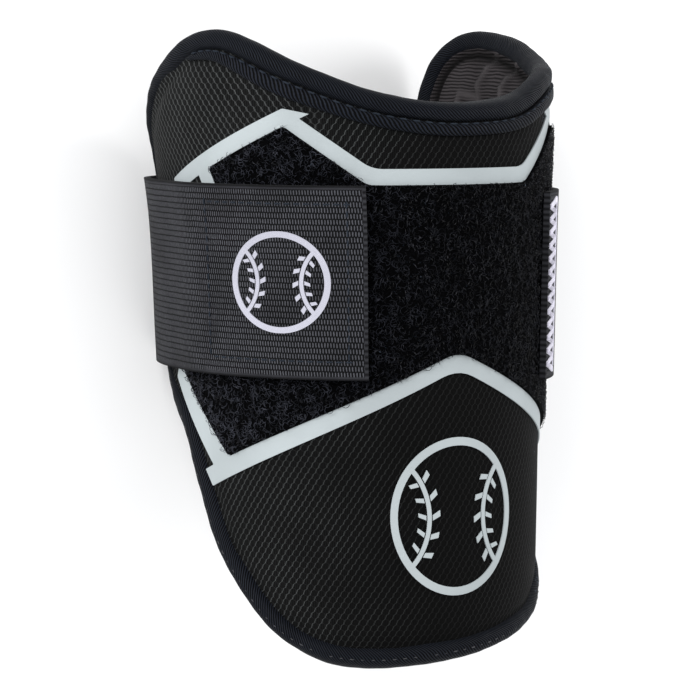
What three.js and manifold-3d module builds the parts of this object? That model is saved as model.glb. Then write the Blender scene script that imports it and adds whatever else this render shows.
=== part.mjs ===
// A batter's elbow guard: a stiff shell wrapped round the elbow and the forearm, with a padded lining,
// a bound rim and a wide elastic strap that closes the back and grips a loop patch on the front.
// Units are millimetres and degrees. The arm runs along +Y, towards the upper arm. The guard lies with
// its crown up and its open back down, resting on the flat run of the strap, whose middle is the origin.
import * as THREE from 'three';
import { TessellateModifier } from 'three/addons/modifiers/TessellateModifier.js';
import { mergeVertices } from 'three/addons/utils/BufferGeometryUtils.js';
import Module from 'manifold-3d';

const wasm = await Module();
wasm.setup();

// Overall form
const guardLength = 177; // from the rim at the tip to the crest of the ears
const halfWidth = 53.2; // outer face of the shell, across the arm
const halfDepth = 61.5; // outer face of the shell, from the middle of the section up to the crown
const edgeDrop = 42; // how far the side edges of the wings lie below the middle of the section
const clearance = 0.3; // between two pieces that touch

// Walls of the layers, from the outside in
const printWall = 0.6;
const patchWall = 1.6;
const shellWall = 3;
const liningWall = 4.6;

// Binding round the rim, and the welt beside it along the top
const bindingOut = 3; // past the edge of the shell
const bindingLip = 3; // back over each face
const bindingWall = 1.3;
const weltWidth = 3.6;
const weltHeight = 1.5;
const weltReach = 82; // degrees round from the crown line

// Strap, and the strip of hooks under its free end
const strapWidth = 53;
const strapWall = 1.8;
const strapLevel = 108; // middle of the strap above the tip
const strapFreeEnd = 27.5; // degrees round from the crown line, on the left
const strapFixedEnd = 38; // degrees round from the crown line, on the right
const strapLeave = 5; // degrees before the side edge, where the strap leaves the wing
const hookWall = 1;
const hookLength = 42;
const hookInset = 4; // from the free end and from both edges of the strap
const hookRunout = 12; // past the hooks, before the strap settles onto the patch

// Loop patch and the printed border that frames it
const patchReach = 93.5; // degrees round from the crown line
const hornGap = 8.9; // from its horns to the welt
const patchFoot = 58.5; // lower corners above the tip
const borderWidth = 4.4;

// Ball emblems
const frontBallRadius = 22;
const frontBallLevel = 43; // centre above the tip
const strapBallRadius = 14;
const strapBallWrap = 51; // degrees round from the crown line, on the left
const ballLine = 1.9;
const stitchLine = 1.1;

// Mesh steps
const columnStep = 8; // longest step round the arm of a wall
const rowSteps = 8; // steps along the arm of a wall
const rowCrowding = 0.8; // from 0, even steps, towards 1, steps crowded at both ends
const bendStep = 9.6; // longest step round the arm of a bent plate
const bendPasses = 40; // most times that a bent plate's edges are halved
const bendStretch = 8; // steps along the arm are this much longer
const strapSteps = 14; // steps on each wing
const turnSteps = 4; // steps round each wing's edge
const arcSteps = 32; // steps round a circle

// Sections up the shell. station: share of guardLength above the tip; width and depth: shares of
// halfWidth and halfDepth; sink: how far the middle drops, as a share of halfDepth.
const SECTIONS = [
  { station: -0.03, width: 0.8, depth: 0.84, sink: 0 },
  { station: 0.01, width: 0.87, depth: 0.9, sink: 0 },
  { station: 0.05, width: 0.912, depth: 0.935, sink: 0 },
  { station: 0.105, width: 0.932, depth: 0.955, sink: 0 },
  { station: 0.2, width: 0.94, depth: 0.963, sink: 0 },
  { station: 0.35, width: 0.957, depth: 0.966, sink: 0.008 },
  { station: 0.5, width: 0.977, depth: 0.974, sink: 0.016 },
  { station: 0.7, width: 1.0, depth: 1.0, sink: 0.034 },
  { station: 0.87, width: 1.05, depth: 1.046, sink: 0.085 },
  { station: 1.02, width: 1.075, depth: 1.062, sink: 0.105 },
];

// Outer edge of the rim, laid flat, in columns from the left side edge to the right one.
// around: share of the way round to the side edge; low and high: shares of guardLength.
const COLUMNS = [
  { around: -1, low: 0.53, high: 0.79 },
  { around: -0.97, low: 0.487, high: 0.832 },
  { around: -0.9, low: 0.449, high: 0.88 },
  { around: -0.8, low: 0.397, high: 0.935 },
  { around: -0.72, low: 0.345, high: 0.968 },
  { around: -0.66, low: 0.262, high: 0.989 },
  { around: -0.6, low: 0.175, high: 0.999 },
  { around: -0.54, low: 0.124, high: 0.998 },
  { around: -0.47, low: 0.071, high: 0.981 },
  { around: -0.4, low: 0.034, high: 0.958 },
  { around: -0.3, low: 0.006, high: 0.93 },
  { around: -0.19, low: 0, high: 0.904 },
  { around: -0.06, low: 0.006, high: 0.889 },
  { around: 0.06, low: 0.014, high: 0.888 },
  { around: 0.19, low: 0.029, high: 0.897 },
  { around: 0.31, low: 0.047, high: 0.927 },
  { around: 0.4, low: 0.07, high: 0.954 },
  { around: 0.49, low: 0.11, high: 0.97 },
  { around: 0.56, low: 0.16, high: 0.977 },
  { around: 0.62, low: 0.23, high: 0.983 },
  { around: 0.68, low: 0.325, high: 0.991 },
  { around: 0.76, low: 0.385, high: 0.999 },
  { around: 0.84, low: 0.43, high: 1 },
  { around: 0.91, low: 0.453, high: 0.989 },
  { around: 0.97, low: 0.487, high: 0.952 },
  { around: 1, low: 0.53, high: 0.9 },
];

// Half of the loop patch, laid flat. around: share of patchReach; up: share of patchHeight
// above its lower corners; round: how far the corner is cut back, as a share of borderWidth.
// The row at 1 is the horn.
const PATCH_HALF = [
  { around: 0, up: 0.333, round: 1.2 },
  { around: 0.78, up: 0, round: 0 },
  { around: 1, up: 0.25, round: 0 },
  { around: 0.72, up: 0.68, round: 0 },
  { around: 0.795, up: 0.875, round: 0.2 },
  { around: 0.528, up: 1, round: 0.2 },
  { around: 0.291, up: 0.827, round: 0.4 },
];

// Straight tails of the border, past the corners of each half of the patch. from and to: rows of
// PATCH_HALF; before and past: how far the tail runs over each of them, as shares of borderWidth.
const TAILS = [
  { from: 0, to: 1, before: -2, past: 2.1 },
  { from: 4, to: 5, before: 4.4, past: 1.2 },
];

// A ball drawn in lines. All are shares of its radius, but angles are in degrees.
const BALL = {
  seamCentre: 1.3,
  seamRadius: 0.86,
  stitchLength: 0.27,
  stitchAngles: [-31, -15.5, 0, 15.5, 31],
};

const degree = (((halfWidth + halfDepth) / 2) * Math.PI) / 180; // length of one degree of wrap
const tip = -strapLevel; // where the tip lies on Y
const middleHeight = edgeDrop + clearance + strapWall; // middle of the section above the floor
const layers = shellWall + clearance + liningWall;
const patchTop = clearance + patchWall;
const hookTop = patchTop + clearance + hookWall;
const halfStrap = strapWidth / 2;

// Smooth value of one column of a table at x, with x read from another column.
function smoothColumn(rows, key, column, x) {
  let k = 0;
  while (k < rows.length - 2 && x > rows[k + 1][key]) k += 1;
  const slope = (a, b) => (rows[b][column] - rows[a][column]) / (rows[b][key] - rows[a][key]);
  const before = slope(Math.max(k - 1, 0), k + 1);
  const after = slope(k, Math.min(k + 2, rows.length - 1));
  const span = rows[k + 1][key] - rows[k][key];
  const t = THREE.MathUtils.clamp((x - rows[k][key]) / span, 0, 1);
  const t2 = t * t;
  const t3 = t2 * t;
  return (
    (2 * t3 - 3 * t2 + 1) * rows[k][column] +
    (t3 - 2 * t2 + t) * span * before +
    (3 * t2 - 2 * t3) * rows[k + 1][column] +
    (t3 - t2) * span * after
  );
}

// Half width, half depth and sink of the shell's section at a place on Y.
function sectionAt(y) {
  const station = (y - tip) / guardLength;
  return {
    width: halfWidth * smoothColumn(SECTIONS, 'station', 'width', station),
    depth: halfDepth * smoothColumn(SECTIONS, 'station', 'depth', station),
    sink: halfDepth * smoothColumn(SECTIONS, 'station', 'sink', station),
  };
}

// Point of the shell laid flat: u round the arm and y along it, raised off the outer face by lift.
function onShell(u, y, lift) {
  const { width, depth, sink } = sectionAt(y);
  const wrap = THREE.MathUtils.degToRad(u / degree);
  const normal = new THREE.Vector2(Math.sin(wrap) / width, Math.cos(wrap) / depth).normalize();
  return new THREE.Vector3(
    width * Math.sin(wrap) + lift * normal.x,
    y,
    middleHeight + depth * Math.cos(wrap) - sink + lift * normal.y,
  );
}

// Distance round the arm from the crown line to the side edge, laid flat.
function sideReach(y) {
  const { depth, sink } = sectionAt(y);
  return THREE.MathUtils.radToDeg(Math.acos((sink - edgeDrop) / depth)) * degree;
}

// Height of the patch, from its lower corners to its horns, which end below the welt.
function patchHeight() {
  const horn = PATCH_HALF.find(({ up }) => up === 1);
  const share = (horn.around * patchReach * degree) / sideReach(tip + guardLength);
  const rim = [-1, 1].map((side) => smoothColumn(COLUMNS, 'around', 'high', side * share));
  const band = bindingOut + bindingLip + clearance + weltWidth;
  return Math.min(...rim) * guardLength - band - hornGap - patchFoot;
}

// Closed mesh from rings of points. Each ring is joined to the next, and the last to the first,
// or else both end rings are closed by a strip between their two halves.
function loftRings(rings, closed) {
  const positions = [];
  const count = rings[0].length;
  const face = (a, b, c) => positions.push(...a.toArray(), ...b.toArray(), ...c.toArray());
  const quad = (a, b, c, d) => {
    face(a, b, c);
    face(a, c, d);
  };
  const spans = closed ? rings.length : rings.length - 1;
  for (let k = 0; k < spans; k += 1) {
    const here = rings[k];
    const next = rings[(k + 1) % rings.length];
    for (let j = 0; j < count; j += 1) {
      const i = (j + 1) % count;
      quad(here[j], here[i], next[i], next[j]);
    }
  }
  if (!closed) {
    const start = rings[0];
    const end = rings[rings.length - 1];
    for (let j = 0; j < count / 2 - 1; j += 1) {
      const across = count - 1 - j;
      quad(start[across], start[across - 1], start[j + 1], start[j]);
      quad(end[j], end[j + 1], end[across - 1], end[across]);
    }
  }
  const geometry = new THREE.BufferGeometry();
  geometry.setAttribute('position', new THREE.Float32BufferAttribute(positions, 3));
  return geometry;
}

// The same mesh with shared corners and its faces pointing out.
function facingOut(geometry) {
  const merged = mergeVertices(geometry, 1e-4);
  const corners = merged.getAttribute('position');
  const index = merged.index.array;
  const [a, b, c] = [0, 1, 2].map(() => new THREE.Vector3());
  let volume = 0;
  for (let i = 0; i < index.length; i += 3) {
    a.fromBufferAttribute(corners, index[i]);
    b.fromBufferAttribute(corners, index[i + 1]);
    c.fromBufferAttribute(corners, index[i + 2]);
    volume += a.dot(b.cross(c));
  }
  if (volume < 0) {
    for (let i = 0; i < index.length; i += 3) {
      [index[i + 1], index[i + 2]] = [index[i + 2], index[i + 1]];
    }
  }
  merged.computeVertexNormals();
  return merged;
}

// Share of a column at each of its rows. The rows are closer together towards both ends.
function rowShare(row) {
  const even = row / rowSteps;
  return even - (rowCrowding * Math.sin(2 * Math.PI * even)) / (2 * Math.PI);
}

// Columns of the rim laid flat: where each one starts and ends, round the arm and along it.
function rimColumns() {
  const shares = [COLUMNS[0].around];
  for (let k = 1; k < COLUMNS.length; k += 1) {
    const from = COLUMNS[k - 1].around;
    const span = COLUMNS[k].around - from;
    const steps = Math.ceil((span * sideReach(0)) / columnStep);
    for (let i = 1; i <= steps; i += 1) shares.push(from + (span * i) / steps);
  }
  const end = (share, column) => {
    const y = tip + guardLength * smoothColumn(COLUMNS, 'around', column, share);
    return new THREE.Vector2(share * sideReach(y), y);
  };
  return shares.map((share) => ({ share, low: end(share, 'low'), high: end(share, 'high') }));
}

// Points once round the rim laid flat, each with its outward direction. They start at the lower
// left, and follow the low ends, the right side edge, the high ends and the left side edge.
function rimStations() {
  const columns = rimColumns();
  const sideEdge = ({ share, low, high }) =>
    Array.from({ length: rowSteps - 1 }, (_, k) => {
      const y = THREE.MathUtils.lerp(low.y, high.y, rowShare(k + 1));
      return new THREE.Vector2(share * sideReach(y), y);
    });
  const points = [
    ...columns.map(({ low }) => low),
    ...sideEdge(columns[columns.length - 1]),
    ...columns.map(({ high }) => high).reverse(),
    ...sideEdge(columns[0]).reverse(),
  ];
  return points.map((at, k) => {
    const back = points[(k + points.length - 1) % points.length];
    const ahead = points[(k + 1) % points.length];
    const before = at.clone().sub(back).normalize();
    const along = ahead.clone().sub(at).normalize().add(before).normalize();
    return { at, out: new THREE.Vector2(along.y, -along.x) };
  });
}

// A wall that fills the rim, between two heights off the outer face of the shell.
function makeWall(low, high) {
  const inset = rimStations().map(({ at, out }) => at.clone().addScaledVector(out, -bindingOut));
  const last = rimColumns().length - 1;
  const topRight = last + rowSteps;
  const columnPoints = (k) => {
    const top = topRight + last - k;
    if (k === last) return inset.slice(last, topRight + 1);
    if (k === 0) return [inset[0], ...inset.slice(top).reverse()];
    return Array.from({ length: rowSteps + 1 }, (_, r) =>
      inset[k].clone().lerp(inset[top], rowShare(r)),
    );
  };
  const rings = Array.from({ length: last + 1 }, (_, k) => {
    const points = columnPoints(k);
    const outer = points.map(({ x, y }) => onShell(x, y, high));
    const inner = points.map(({ x, y }) => onShell(x, y, low));
    return [...outer, ...inner.reverse()];
  });
  return facingOut(loftRings(rings, false));
}

// A section swept along stations of the rim. Its points are out from the rim and up off the shell.
function sweepRim(section, stations, closed) {
  const rings = stations.map(({ at, out }) =>
    section.map(([reach, lift]) => {
      const { x, y } = at.clone().addScaledVector(out, reach);
      return onShell(x, y, lift);
    }),
  );
  return facingOut(loftRings(rings, closed));
}

// The binding is round outside, with a channel that holds the edges of the shell and the lining.
function makeBinding() {
  const upper = clearance;
  const lower = -layers - clearance;
  const root = clearance - bindingOut;
  const lip = -bindingOut - bindingLip;
  const half = bindingWall / 2;
  const section = [
    [lip, upper],
    [lip + half, upper + bindingWall],
    [-bindingOut + half, upper + bindingWall],
    [-half, upper - half],
    [0, upper - 2 * bindingWall],
    [0, lower + 2 * bindingWall],
    [-half, lower + half],
    [-bindingOut + half, lower - bindingWall],
    [lip + half, lower - bindingWall],
    [lip, lower],
    [root, lower],
    [root, upper],
  ];
  return sweepRim(section, rimStations(), true);
}

// The welt runs beside the binding, on the outer face, from ear to ear.
function makeWelt() {
  const edge = -bindingOut - bindingLip - clearance;
  const shoulder = weltWidth / 4;
  const section = [
    [edge, clearance],
    [edge, clearance + weltHeight - shoulder],
    [edge - shoulder, clearance + weltHeight],
    [edge - weltWidth + shoulder, clearance + weltHeight],
    [edge - weltWidth, clearance + weltHeight - shoulder],
    [edge - weltWidth, clearance],
  ];
  const along = rimStations().filter(
    ({ at }) => at.y > halfStrap && Math.abs(at.x) < weltReach * degree,
  );
  return sweepRim(section, along, false);
}

// Height of the strap's inner face off the shell: over the hooks, and past them over the patch.
function strapLift(wrap) {
  const hooksEnd = -strapFreeEnd - (hookInset + hookLength + hookRunout) / degree;
  const settled = THREE.MathUtils.smoothstep(hooksEnd - wrap, 0, hookInset);
  return THREE.MathUtils.lerp(hookTop, patchTop, wrap > 0 ? 1 : settled) + clearance;
}

// Inner and outer points of the strap at one place on Y, from the free end round to the fixed end.
function strapLine(y) {
  const leave = sideReach(y) / degree - strapLeave;
  const wing = (from, to) =>
    Array.from({ length: strapSteps + 1 }, (_, k) => {
      const wrap = THREE.MathUtils.lerp(from, to, k / strapSteps);
      const lift = strapLift(wrap);
      return [onShell(wrap * degree, y, lift), onShell(wrap * degree, y, lift + strapWall)];
    });
  const turn = ([inner, outer]) => {
    const out = outer.clone().sub(inner).normalize();
    const side = Math.sign(inner.x);
    const down = new THREE.Vector3(side * out.z, 0, -side * out.x);
    const drop = (strapWall - inner.z) / down.z;
    const corner = inner.clone().addScaledVector(down, drop);
    const end = corner.clone().setX(corner.x - side * drop);
    const bendCurve = new THREE.QuadraticBezierCurve3(inner, corner, end);
    return Array.from({ length: turnSteps }, (_, k) => {
      const t = (k + 1) / turnSteps;
      const along = bendCurve.getTangent(t);
      const away = new THREE.Vector3(-side * along.z, 0, side * along.x);
      const at = bendCurve.getPoint(t);
      return [at, at.clone().addScaledVector(away, strapWall)];
    });
  };
  const left = wing(-strapFreeEnd, -leave);
  const right = wing(leave, strapFixedEnd);
  return [...left, ...turn(left[strapSteps]), ...turn(right[0]).reverse(), ...right];
}

function makeStrap() {
  const low = strapLine(-halfStrap);
  const high = strapLine(halfStrap);
  const rings = low.map(([inner, outer], k) => [inner, outer, high[k][1], high[k][0]]);
  return facingOut(loftRings(rings, false));
}

// A solid for cutting and joining.
function solidOf(geometry) {
  const bare = geometry.clone();
  bare.deleteAttribute('normal');
  bare.deleteAttribute('uv');
  const merged = mergeVertices(bare, 1e-4);
  const mesh = new wasm.Mesh({
    numProp: 3,
    vertProperties: merged.getAttribute('position').array,
    triVerts: new Uint32Array(merged.index.array),
  });
  return new wasm.Manifold(mesh);
}

function geometryOf(solid) {
  const { vertProperties, triVerts } = solid.getMesh();
  const geometry = new THREE.BufferGeometry();
  geometry.setAttribute('position', new THREE.BufferAttribute(vertProperties, 3));
  geometry.setIndex(new THREE.BufferAttribute(triVerts, 1));
  return geometry;
}

// A flat plate of an outline, less its holes.
function flatPlate(outline, holes, wall) {
  const shape = new THREE.Shape(outline);
  holes.forEach((hole) => shape.holes.push(new THREE.Path(hole)));
  return new THREE.ExtrudeGeometry(shape, { depth: wall, bevelEnabled: false });
}

// A flat plate bent round the shell, with its underside raised off the outer face by lift.
function bendOnShell(plate, lift) {
  const flat = plate.clone();
  flat.deleteAttribute('normal');
  flat.deleteAttribute('uv');
  flat.scale(1, 1 / bendStretch, 1);
  const fine = new TessellateModifier(bendStep, bendPasses).modify(flat);
  const corners = fine.getAttribute('position');
  for (let i = 0; i < corners.count; i += 1) {
    const y = corners.getY(i) * bendStretch;
    const at = onShell(corners.getX(i), y, lift + corners.getZ(i));
    corners.setXYZ(i, at.x, at.y, at.z);
  }
  return facingOut(fine);
}

function makeHooks() {
  const near = -strapFreeEnd * degree - hookInset;
  const far = near - hookLength;
  const edge = halfStrap - hookInset;
  const outline = [
    [near, -edge],
    [near, edge],
    [far, edge],
    [far, -edge],
  ].map(([x, y]) => new THREE.Vector2(x, y));
  return bendOnShell(flatPlate(outline, [], hookWall), patchTop + clearance);
}

// Corners of the loop patch once round, laid flat. They run counterclockwise from the middle.
function patchCorners() {
  const foot = tip + patchFoot;
  const height = patchHeight();
  const right = PATCH_HALF.map(({ around, up, round }) => ({
    at: new THREE.Vector2(around * patchReach * degree, foot + up * height),
    round: round * borderWidth,
  }));
  const left = right.slice(1).map(({ at, round }) => ({
    at: new THREE.Vector2(-at.x, at.y),
    round,
  }));
  return [...right, ...left.reverse()];
}

// Direction out of the patch from the edge between one of its corners and the next.
function edgeNormal(a, b) {
  return new THREE.Vector2(b.y - a.y, a.x - b.x).normalize();
}

// The same corners moved out by a distance.
function moveOut(corners, distance) {
  return corners.map(({ at, round }, k) => {
    const back = corners[(k + corners.length - 1) % corners.length].at;
    const ahead = corners[(k + 1) % corners.length].at;
    const before = edgeNormal(back, at);
    const after = edgeNormal(at, ahead);
    const miter = before.clone().add(after);
    miter.multiplyScalar(distance / (1 + before.dot(after)));
    return { at: at.clone().add(miter), round };
  });
}

// A flat outline with each corner rounded.
function outlineOf(corners) {
  const path = new THREE.Path();
  corners.forEach(({ at, round }, k) => {
    const back = corners[(k + corners.length - 1) % corners.length].at;
    const ahead = corners[(k + 1) % corners.length].at;
    const enter = at.clone().addScaledVector(back.clone().sub(at).normalize(), round);
    const leave = at.clone().addScaledVector(ahead.clone().sub(at).normalize(), round);
    if (k === 0) path.moveTo(enter.x, enter.y);
    else path.lineTo(enter.x, enter.y);
    if (round > 0) path.quadraticCurveTo(at.x, at.y, leave.x, leave.y);
  });
  return path.getPoints(2);
}

function makePatch() {
  return bendOnShell(flatPlate(outlineOf(patchCorners()), [], patchWall), clearance);
}

// The printed border frames the patch, with straight tails past its corners.
function makeBorder() {
  const corners = patchCorners();
  const inner = outlineOf(moveOut(corners, clearance));
  const outer = outlineOf(moveOut(corners, clearance + borderWidth));
  const frame = solidOf(flatPlate(outer, [inner], printWall));
  const tails = TAILS.flatMap(({ from, to, before, past }) => {
    const start = corners[from].at;
    const end = corners[to].at;
    const along = end.clone().sub(start).normalize();
    const out = edgeNormal(start, end);
    const cornerAt = (base, over, rise) =>
      base.clone().addScaledVector(along, over * borderWidth).addScaledVector(out, rise);
    const band = [
      cornerAt(start, -before, clearance + borderWidth),
      cornerAt(start, -before, clearance),
      cornerAt(end, past, clearance),
      cornerAt(end, past, clearance + borderWidth),
    ];
    const mirrored = band.map(({ x, y }) => new THREE.Vector2(-x, y));
    return [band, mirrored].map((outline) => solidOf(flatPlate(outline, [], printWall)));
  });
  const joined = tails.reduce((all, tail) => all.add(tail), frame);
  return bendOnShell(geometryOf(joined), clearance);
}

// Points once round a circle.
function circle(x, y, radius) {
  const ring = new THREE.EllipseCurve(x, y, radius, radius);
  return ring.getPoints(arcSteps).slice(1);
}

// A ball drawn as a plate of lines: its outline, two seams and their stitches.
function ballPlate(x, y, radius) {
  const band = (cx, r, wide) =>
    solidOf(flatPlate(circle(cx, y, r + wide / 2), [circle(cx, y, r - wide / 2)], printWall));
  const disc = solidOf(flatPlate(circle(x, y, radius - ballLine / 2), [], printWall));
  let drawing = band(x, radius - ballLine / 2, ballLine);
  [-1, 1].forEach((side) => {
    const seamX = x + side * BALL.seamCentre * radius;
    const seamRadius = BALL.seamRadius * radius;
    drawing = drawing.add(band(seamX, seamRadius, stitchLine).intersect(disc));
    BALL.stitchAngles.forEach((angle) => {
      const stitch = new THREE.BoxGeometry(BALL.stitchLength * radius, stitchLine, printWall);
      stitch.translate(-side * seamRadius, 0, printWall / 2);
      stitch.rotateZ(THREE.MathUtils.degToRad(angle));
      stitch.translate(seamX, y, 0);
      drawing = drawing.add(solidOf(stitch));
    });
  });
  return geometryOf(drawing);
}

function makeFrontBall() {
  return bendOnShell(ballPlate(0, tip + frontBallLevel, frontBallRadius), clearance);
}

function makeStrapBall() {
  const lift = hookTop + clearance + strapWall + clearance;
  return bendOnShell(ballPlate(-strapBallWrap * degree, 0, strapBallRadius), lift);
}

// Colour, roughness and metalness of each material
const meshFabric = { color: 0x25271f, roughness: 0.85, metalness: 0 };
const liningFabric = { color: 0x2c2825, roughness: 0.9, metalness: 0 };
const bindingTape = { color: 0x232a38, roughness: 0.75, metalness: 0 };
const loopPile = { color: 0x0d0d0f, roughness: 1, metalness: 0 };
const matteFilm = { color: 0xc3cbcd, roughness: 0.5, metalness: 0 };
const elasticWeb = { color: 0x33343a, roughness: 0.8, metalness: 0 };
const hookTape = { color: 0x17171a, roughness: 0.9, metalness: 0 };
const printInk = { color: 0xb6b6c2, roughness: 0.55, metalness: 0 };

const elbowGuard = new THREE.Group();

function addPiece(name, geometry, finish) {
  const piece = new THREE.Mesh(geometry, new THREE.MeshStandardMaterial(finish));
  piece.name = name;
  elbowGuard.add(piece);
}

addPiece('shield_shell', makeWall(-shellWall, 0), meshFabric);
addPiece('padded_lining', makeWall(-layers, -shellWall - clearance), liningFabric);
addPiece('rim_binding', makeBinding(), bindingTape);
addPiece('top_welt', makeWelt(), bindingTape);
addPiece('loop_patch', makePatch(), loopPile);
addPiece('patch_border', makeBorder(), matteFilm);
addPiece('elastic_strap', makeStrap(), elasticWeb);
addPiece('hook_strip', makeHooks(), hookTape);
addPiece('front_ball_print', makeFrontBall(), matteFilm);
addPiece('strap_ball_print', makeStrapBall(), printInk);

export default elbowGuard;
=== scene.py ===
import math
from functools import partial

import bpy
import numpy as np
from mathutils import Matrix, Vector


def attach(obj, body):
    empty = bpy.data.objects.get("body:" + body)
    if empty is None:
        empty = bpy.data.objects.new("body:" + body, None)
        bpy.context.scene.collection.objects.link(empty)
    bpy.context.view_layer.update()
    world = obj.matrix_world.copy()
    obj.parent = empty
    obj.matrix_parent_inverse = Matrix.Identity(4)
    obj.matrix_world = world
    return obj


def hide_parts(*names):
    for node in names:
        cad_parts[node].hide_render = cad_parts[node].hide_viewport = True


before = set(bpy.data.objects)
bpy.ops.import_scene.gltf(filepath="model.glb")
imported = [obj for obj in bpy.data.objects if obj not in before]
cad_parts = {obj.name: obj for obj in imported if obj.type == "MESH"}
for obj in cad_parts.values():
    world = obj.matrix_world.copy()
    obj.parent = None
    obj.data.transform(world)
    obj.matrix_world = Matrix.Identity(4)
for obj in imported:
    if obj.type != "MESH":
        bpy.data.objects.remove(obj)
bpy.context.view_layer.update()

bl_info = {
    "name": "Elbow Guard",
    "version": (1, 0, 0),
    "blender": (4, 5, 0),
    "location": "View3D > Sidebar > Elbow Guard",
    "description": "Builds the fabric, padding, strap and prints of a batter's elbow guard",
    "category": "Object",
}

# Lengths are millimetres and angles degrees. Pieces are laid out flat, u round the arm and y along it,
# and then wrapped round the guard. MM turns the finished points into metres.
MM = 0.001
FULL_TURN = 2 * math.pi

# Sections up the shell. station: share of the guard's length above the tip; width and depth: shares
# of the half width and half depth; sink: how far the middle drops, as a share of the half depth.
SECTIONS = {
    "station": (-0.03, 0.01, 0.05, 0.105, 0.2, 0.35, 0.5, 0.7, 0.87, 1.02),
    "width": (0.8, 0.87, 0.912, 0.932, 0.94, 0.957, 0.977, 1.0, 1.05, 1.075),
    "depth": (0.84, 0.9, 0.935, 0.955, 0.963, 0.966, 0.974, 1.0, 1.046, 1.062),
    "sink": (0, 0, 0, 0, 0, 0.008, 0.016, 0.034, 0.085, 0.105),
}

# Outer edge of the rim laid flat, from the left side edge to the right one. around: share of the way
# round to the side edge; low and high: shares of the guard's length.
COLUMNS = {
    "around": (
        *(-1, -0.97, -0.9, -0.8, -0.72, -0.66, -0.6, -0.54, -0.47, -0.4, -0.3, -0.19, -0.06),
        *(0.06, 0.19, 0.31, 0.4, 0.49, 0.56, 0.62, 0.68, 0.76, 0.84, 0.91, 0.97, 1),
    ),
    "low": (
        *(0.53, 0.487, 0.449, 0.397, 0.345, 0.262, 0.175, 0.124, 0.071, 0.034, 0.006, 0, 0.006),
        *(0.014, 0.029, 0.047, 0.07, 0.11, 0.16, 0.23, 0.325, 0.385, 0.43, 0.453, 0.487, 0.53),
    ),
    "high": (
        *(0.79, 0.832, 0.88, 0.935, 0.968, 0.989, 0.999, 0.998, 0.981, 0.958, 0.93, 0.904, 0.889),
        *(0.888, 0.897, 0.924, 0.939, 0.947, 0.956, 0.968, 0.982, 0.994, 0.999, 0.987, 0.949, 0.895),
    ),
}

# Half of the loop patch laid flat. around: share of the patch's reach; up: share of its height.
PATCH_HALF = ((0, 0.333), (0.78, 0), (1, 0.25), (0.72, 0.68), (0.795, 0.875), (0.528, 1), (0.291, 0.827))

# Raised lines on the lining, laid flat as (u, y) points
LINING_LINES = (
    ((-70, 52), (-52, 30), (-58, 4), (-44, -24)),
    ((-30, 44), (-22, 18), (-30, -12), (-20, -44), (-26, -80)),
    ((30, 44), (22, 18), (30, -12), (20, -44), (26, -80)),
    ((78, 60), (84, 52), (79, 44), (88, 28), (80, 8)),
    ((92, 61), (96, 53), (93, 45), (86, 34)),
    ((96, 49), (104, 50), (108, 40), (106, 24)),
)

# Shell and lining end this far inside the rim, under the binding.
EDGE_INSET = 3.6

# Curled fibres on the patch. over: how far they stray past its edge; radius, sweep and thick: those of
# one curl. The ground that they stand on is thinner than the patch by PILE_DEPTH.
PILE_DEPTH = 0.5
FIBRE_COUNT = 11500
PILES = {
    "pile_loops": {"seed": 11, "over": -0.1, "standing": False, "radius": 1.0, "sweep": 165, "thick": 0.075},
    "pile_strays": {"seed": 12, "over": 0.35, "standing": True, "radius": 0.62, "sweep": 205, "thick": 0.08},
}

# Film and ink lie just off their grounds.
FILM_LIFT, FILM_WALL, INK_WALL = 0.12, 0.35, 0.3

# The strap's ends, and the strap's print, in degrees round from the crown line. It leaves the shell at
# LEAVE above the side edges, and its fixed end lies lower than its free end by SKEW.
FREE_END, FIXED_END, PRINT_PLACE = -27.5, 38.0, -51.0
LEAVE = 5.0
SKEW = -3.0

# Hook strip under the free end: its distance from the strap's edges, its length, and the run over
# which the strap settles onto the patch behind it.
HOOK_INSET, HOOK_LENGTH, HOOK_RUNOUT = 4.0, 42.0, 12.0

# Colours of the pale specks, linear: specks of lint, and on the right flank painted highlights of grazing
# light
SPECKS = {
    "mesh": (0.11, 0.145, 0.185, 1.0),
    "binding": (0.1, 0.13, 0.17, 1.0),
    "pile": (0.06, 0.08, 0.11, 1.0),
    "fibre": (0.12, 0.155, 0.2, 1.0),
}

# Points nearer than this, in metres, are one point.
MERGE_DISTANCE = 0.00001


def sizes():
    return bpy.context.scene.guard_sizes


def colours():
    return bpy.context.scene.guard_colours


def measure(name, description, value):
    return bpy.props.FloatProperty(name=name, description=description, default=value, unit="LENGTH")


class GuardSizes(bpy.types.PropertyGroup):
    """Sizes of the guard, in metres."""

    length: measure("Length", "From the tip to the crest of the ears", 0.177)
    half_width: measure("Half width", "Across the arm at the strap", 0.0532)
    half_depth: measure("Half depth", "From the section's middle to the crown", 0.0615)
    edge_drop: measure("Edge drop", "Side edges below the section's middle", 0.042)
    gap: measure("Gap", "Between two layers that touch", 0.0003)
    shell_wall: measure("Shell wall", "Thickness of the shell", 0.003)
    lining_wall: measure("Lining wall", "Thickness of the lining", 0.0046)
    patch_wall: measure("Patch wall", "Thickness of the loop patch", 0.0016)
    hook_wall: measure("Hook wall", "Thickness of the hook strip", 0.001)
    strap_wall: measure("Strap wall", "Thickness of the elastic strap", 0.0018)
    strap_width: measure("Strap width", "Width of the elastic strap", 0.053)
    strap_level: measure("Strap level", "Middle of the strap above the tip", 0.108)
    binding_width: measure("Binding width", "Width of the rim's binding", 0.006)
    border_width: measure("Border width", "Width of the printed border", 0.0044)
    patch_reach: measure("Patch reach", "Loop patch round from the crown line", 0.0936)
    patch_height: measure("Patch height", "From its lower corners to its horns", 0.0916)
    patch_foot: measure("Patch foot", "Lower corners above the tip", 0.0585)
    front_ball: measure("Front ball", "Radius of the ball printed on the shell", 0.022)
    strap_ball: measure("Strap ball", "Radius of the ball printed on the strap", 0.014)


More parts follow.
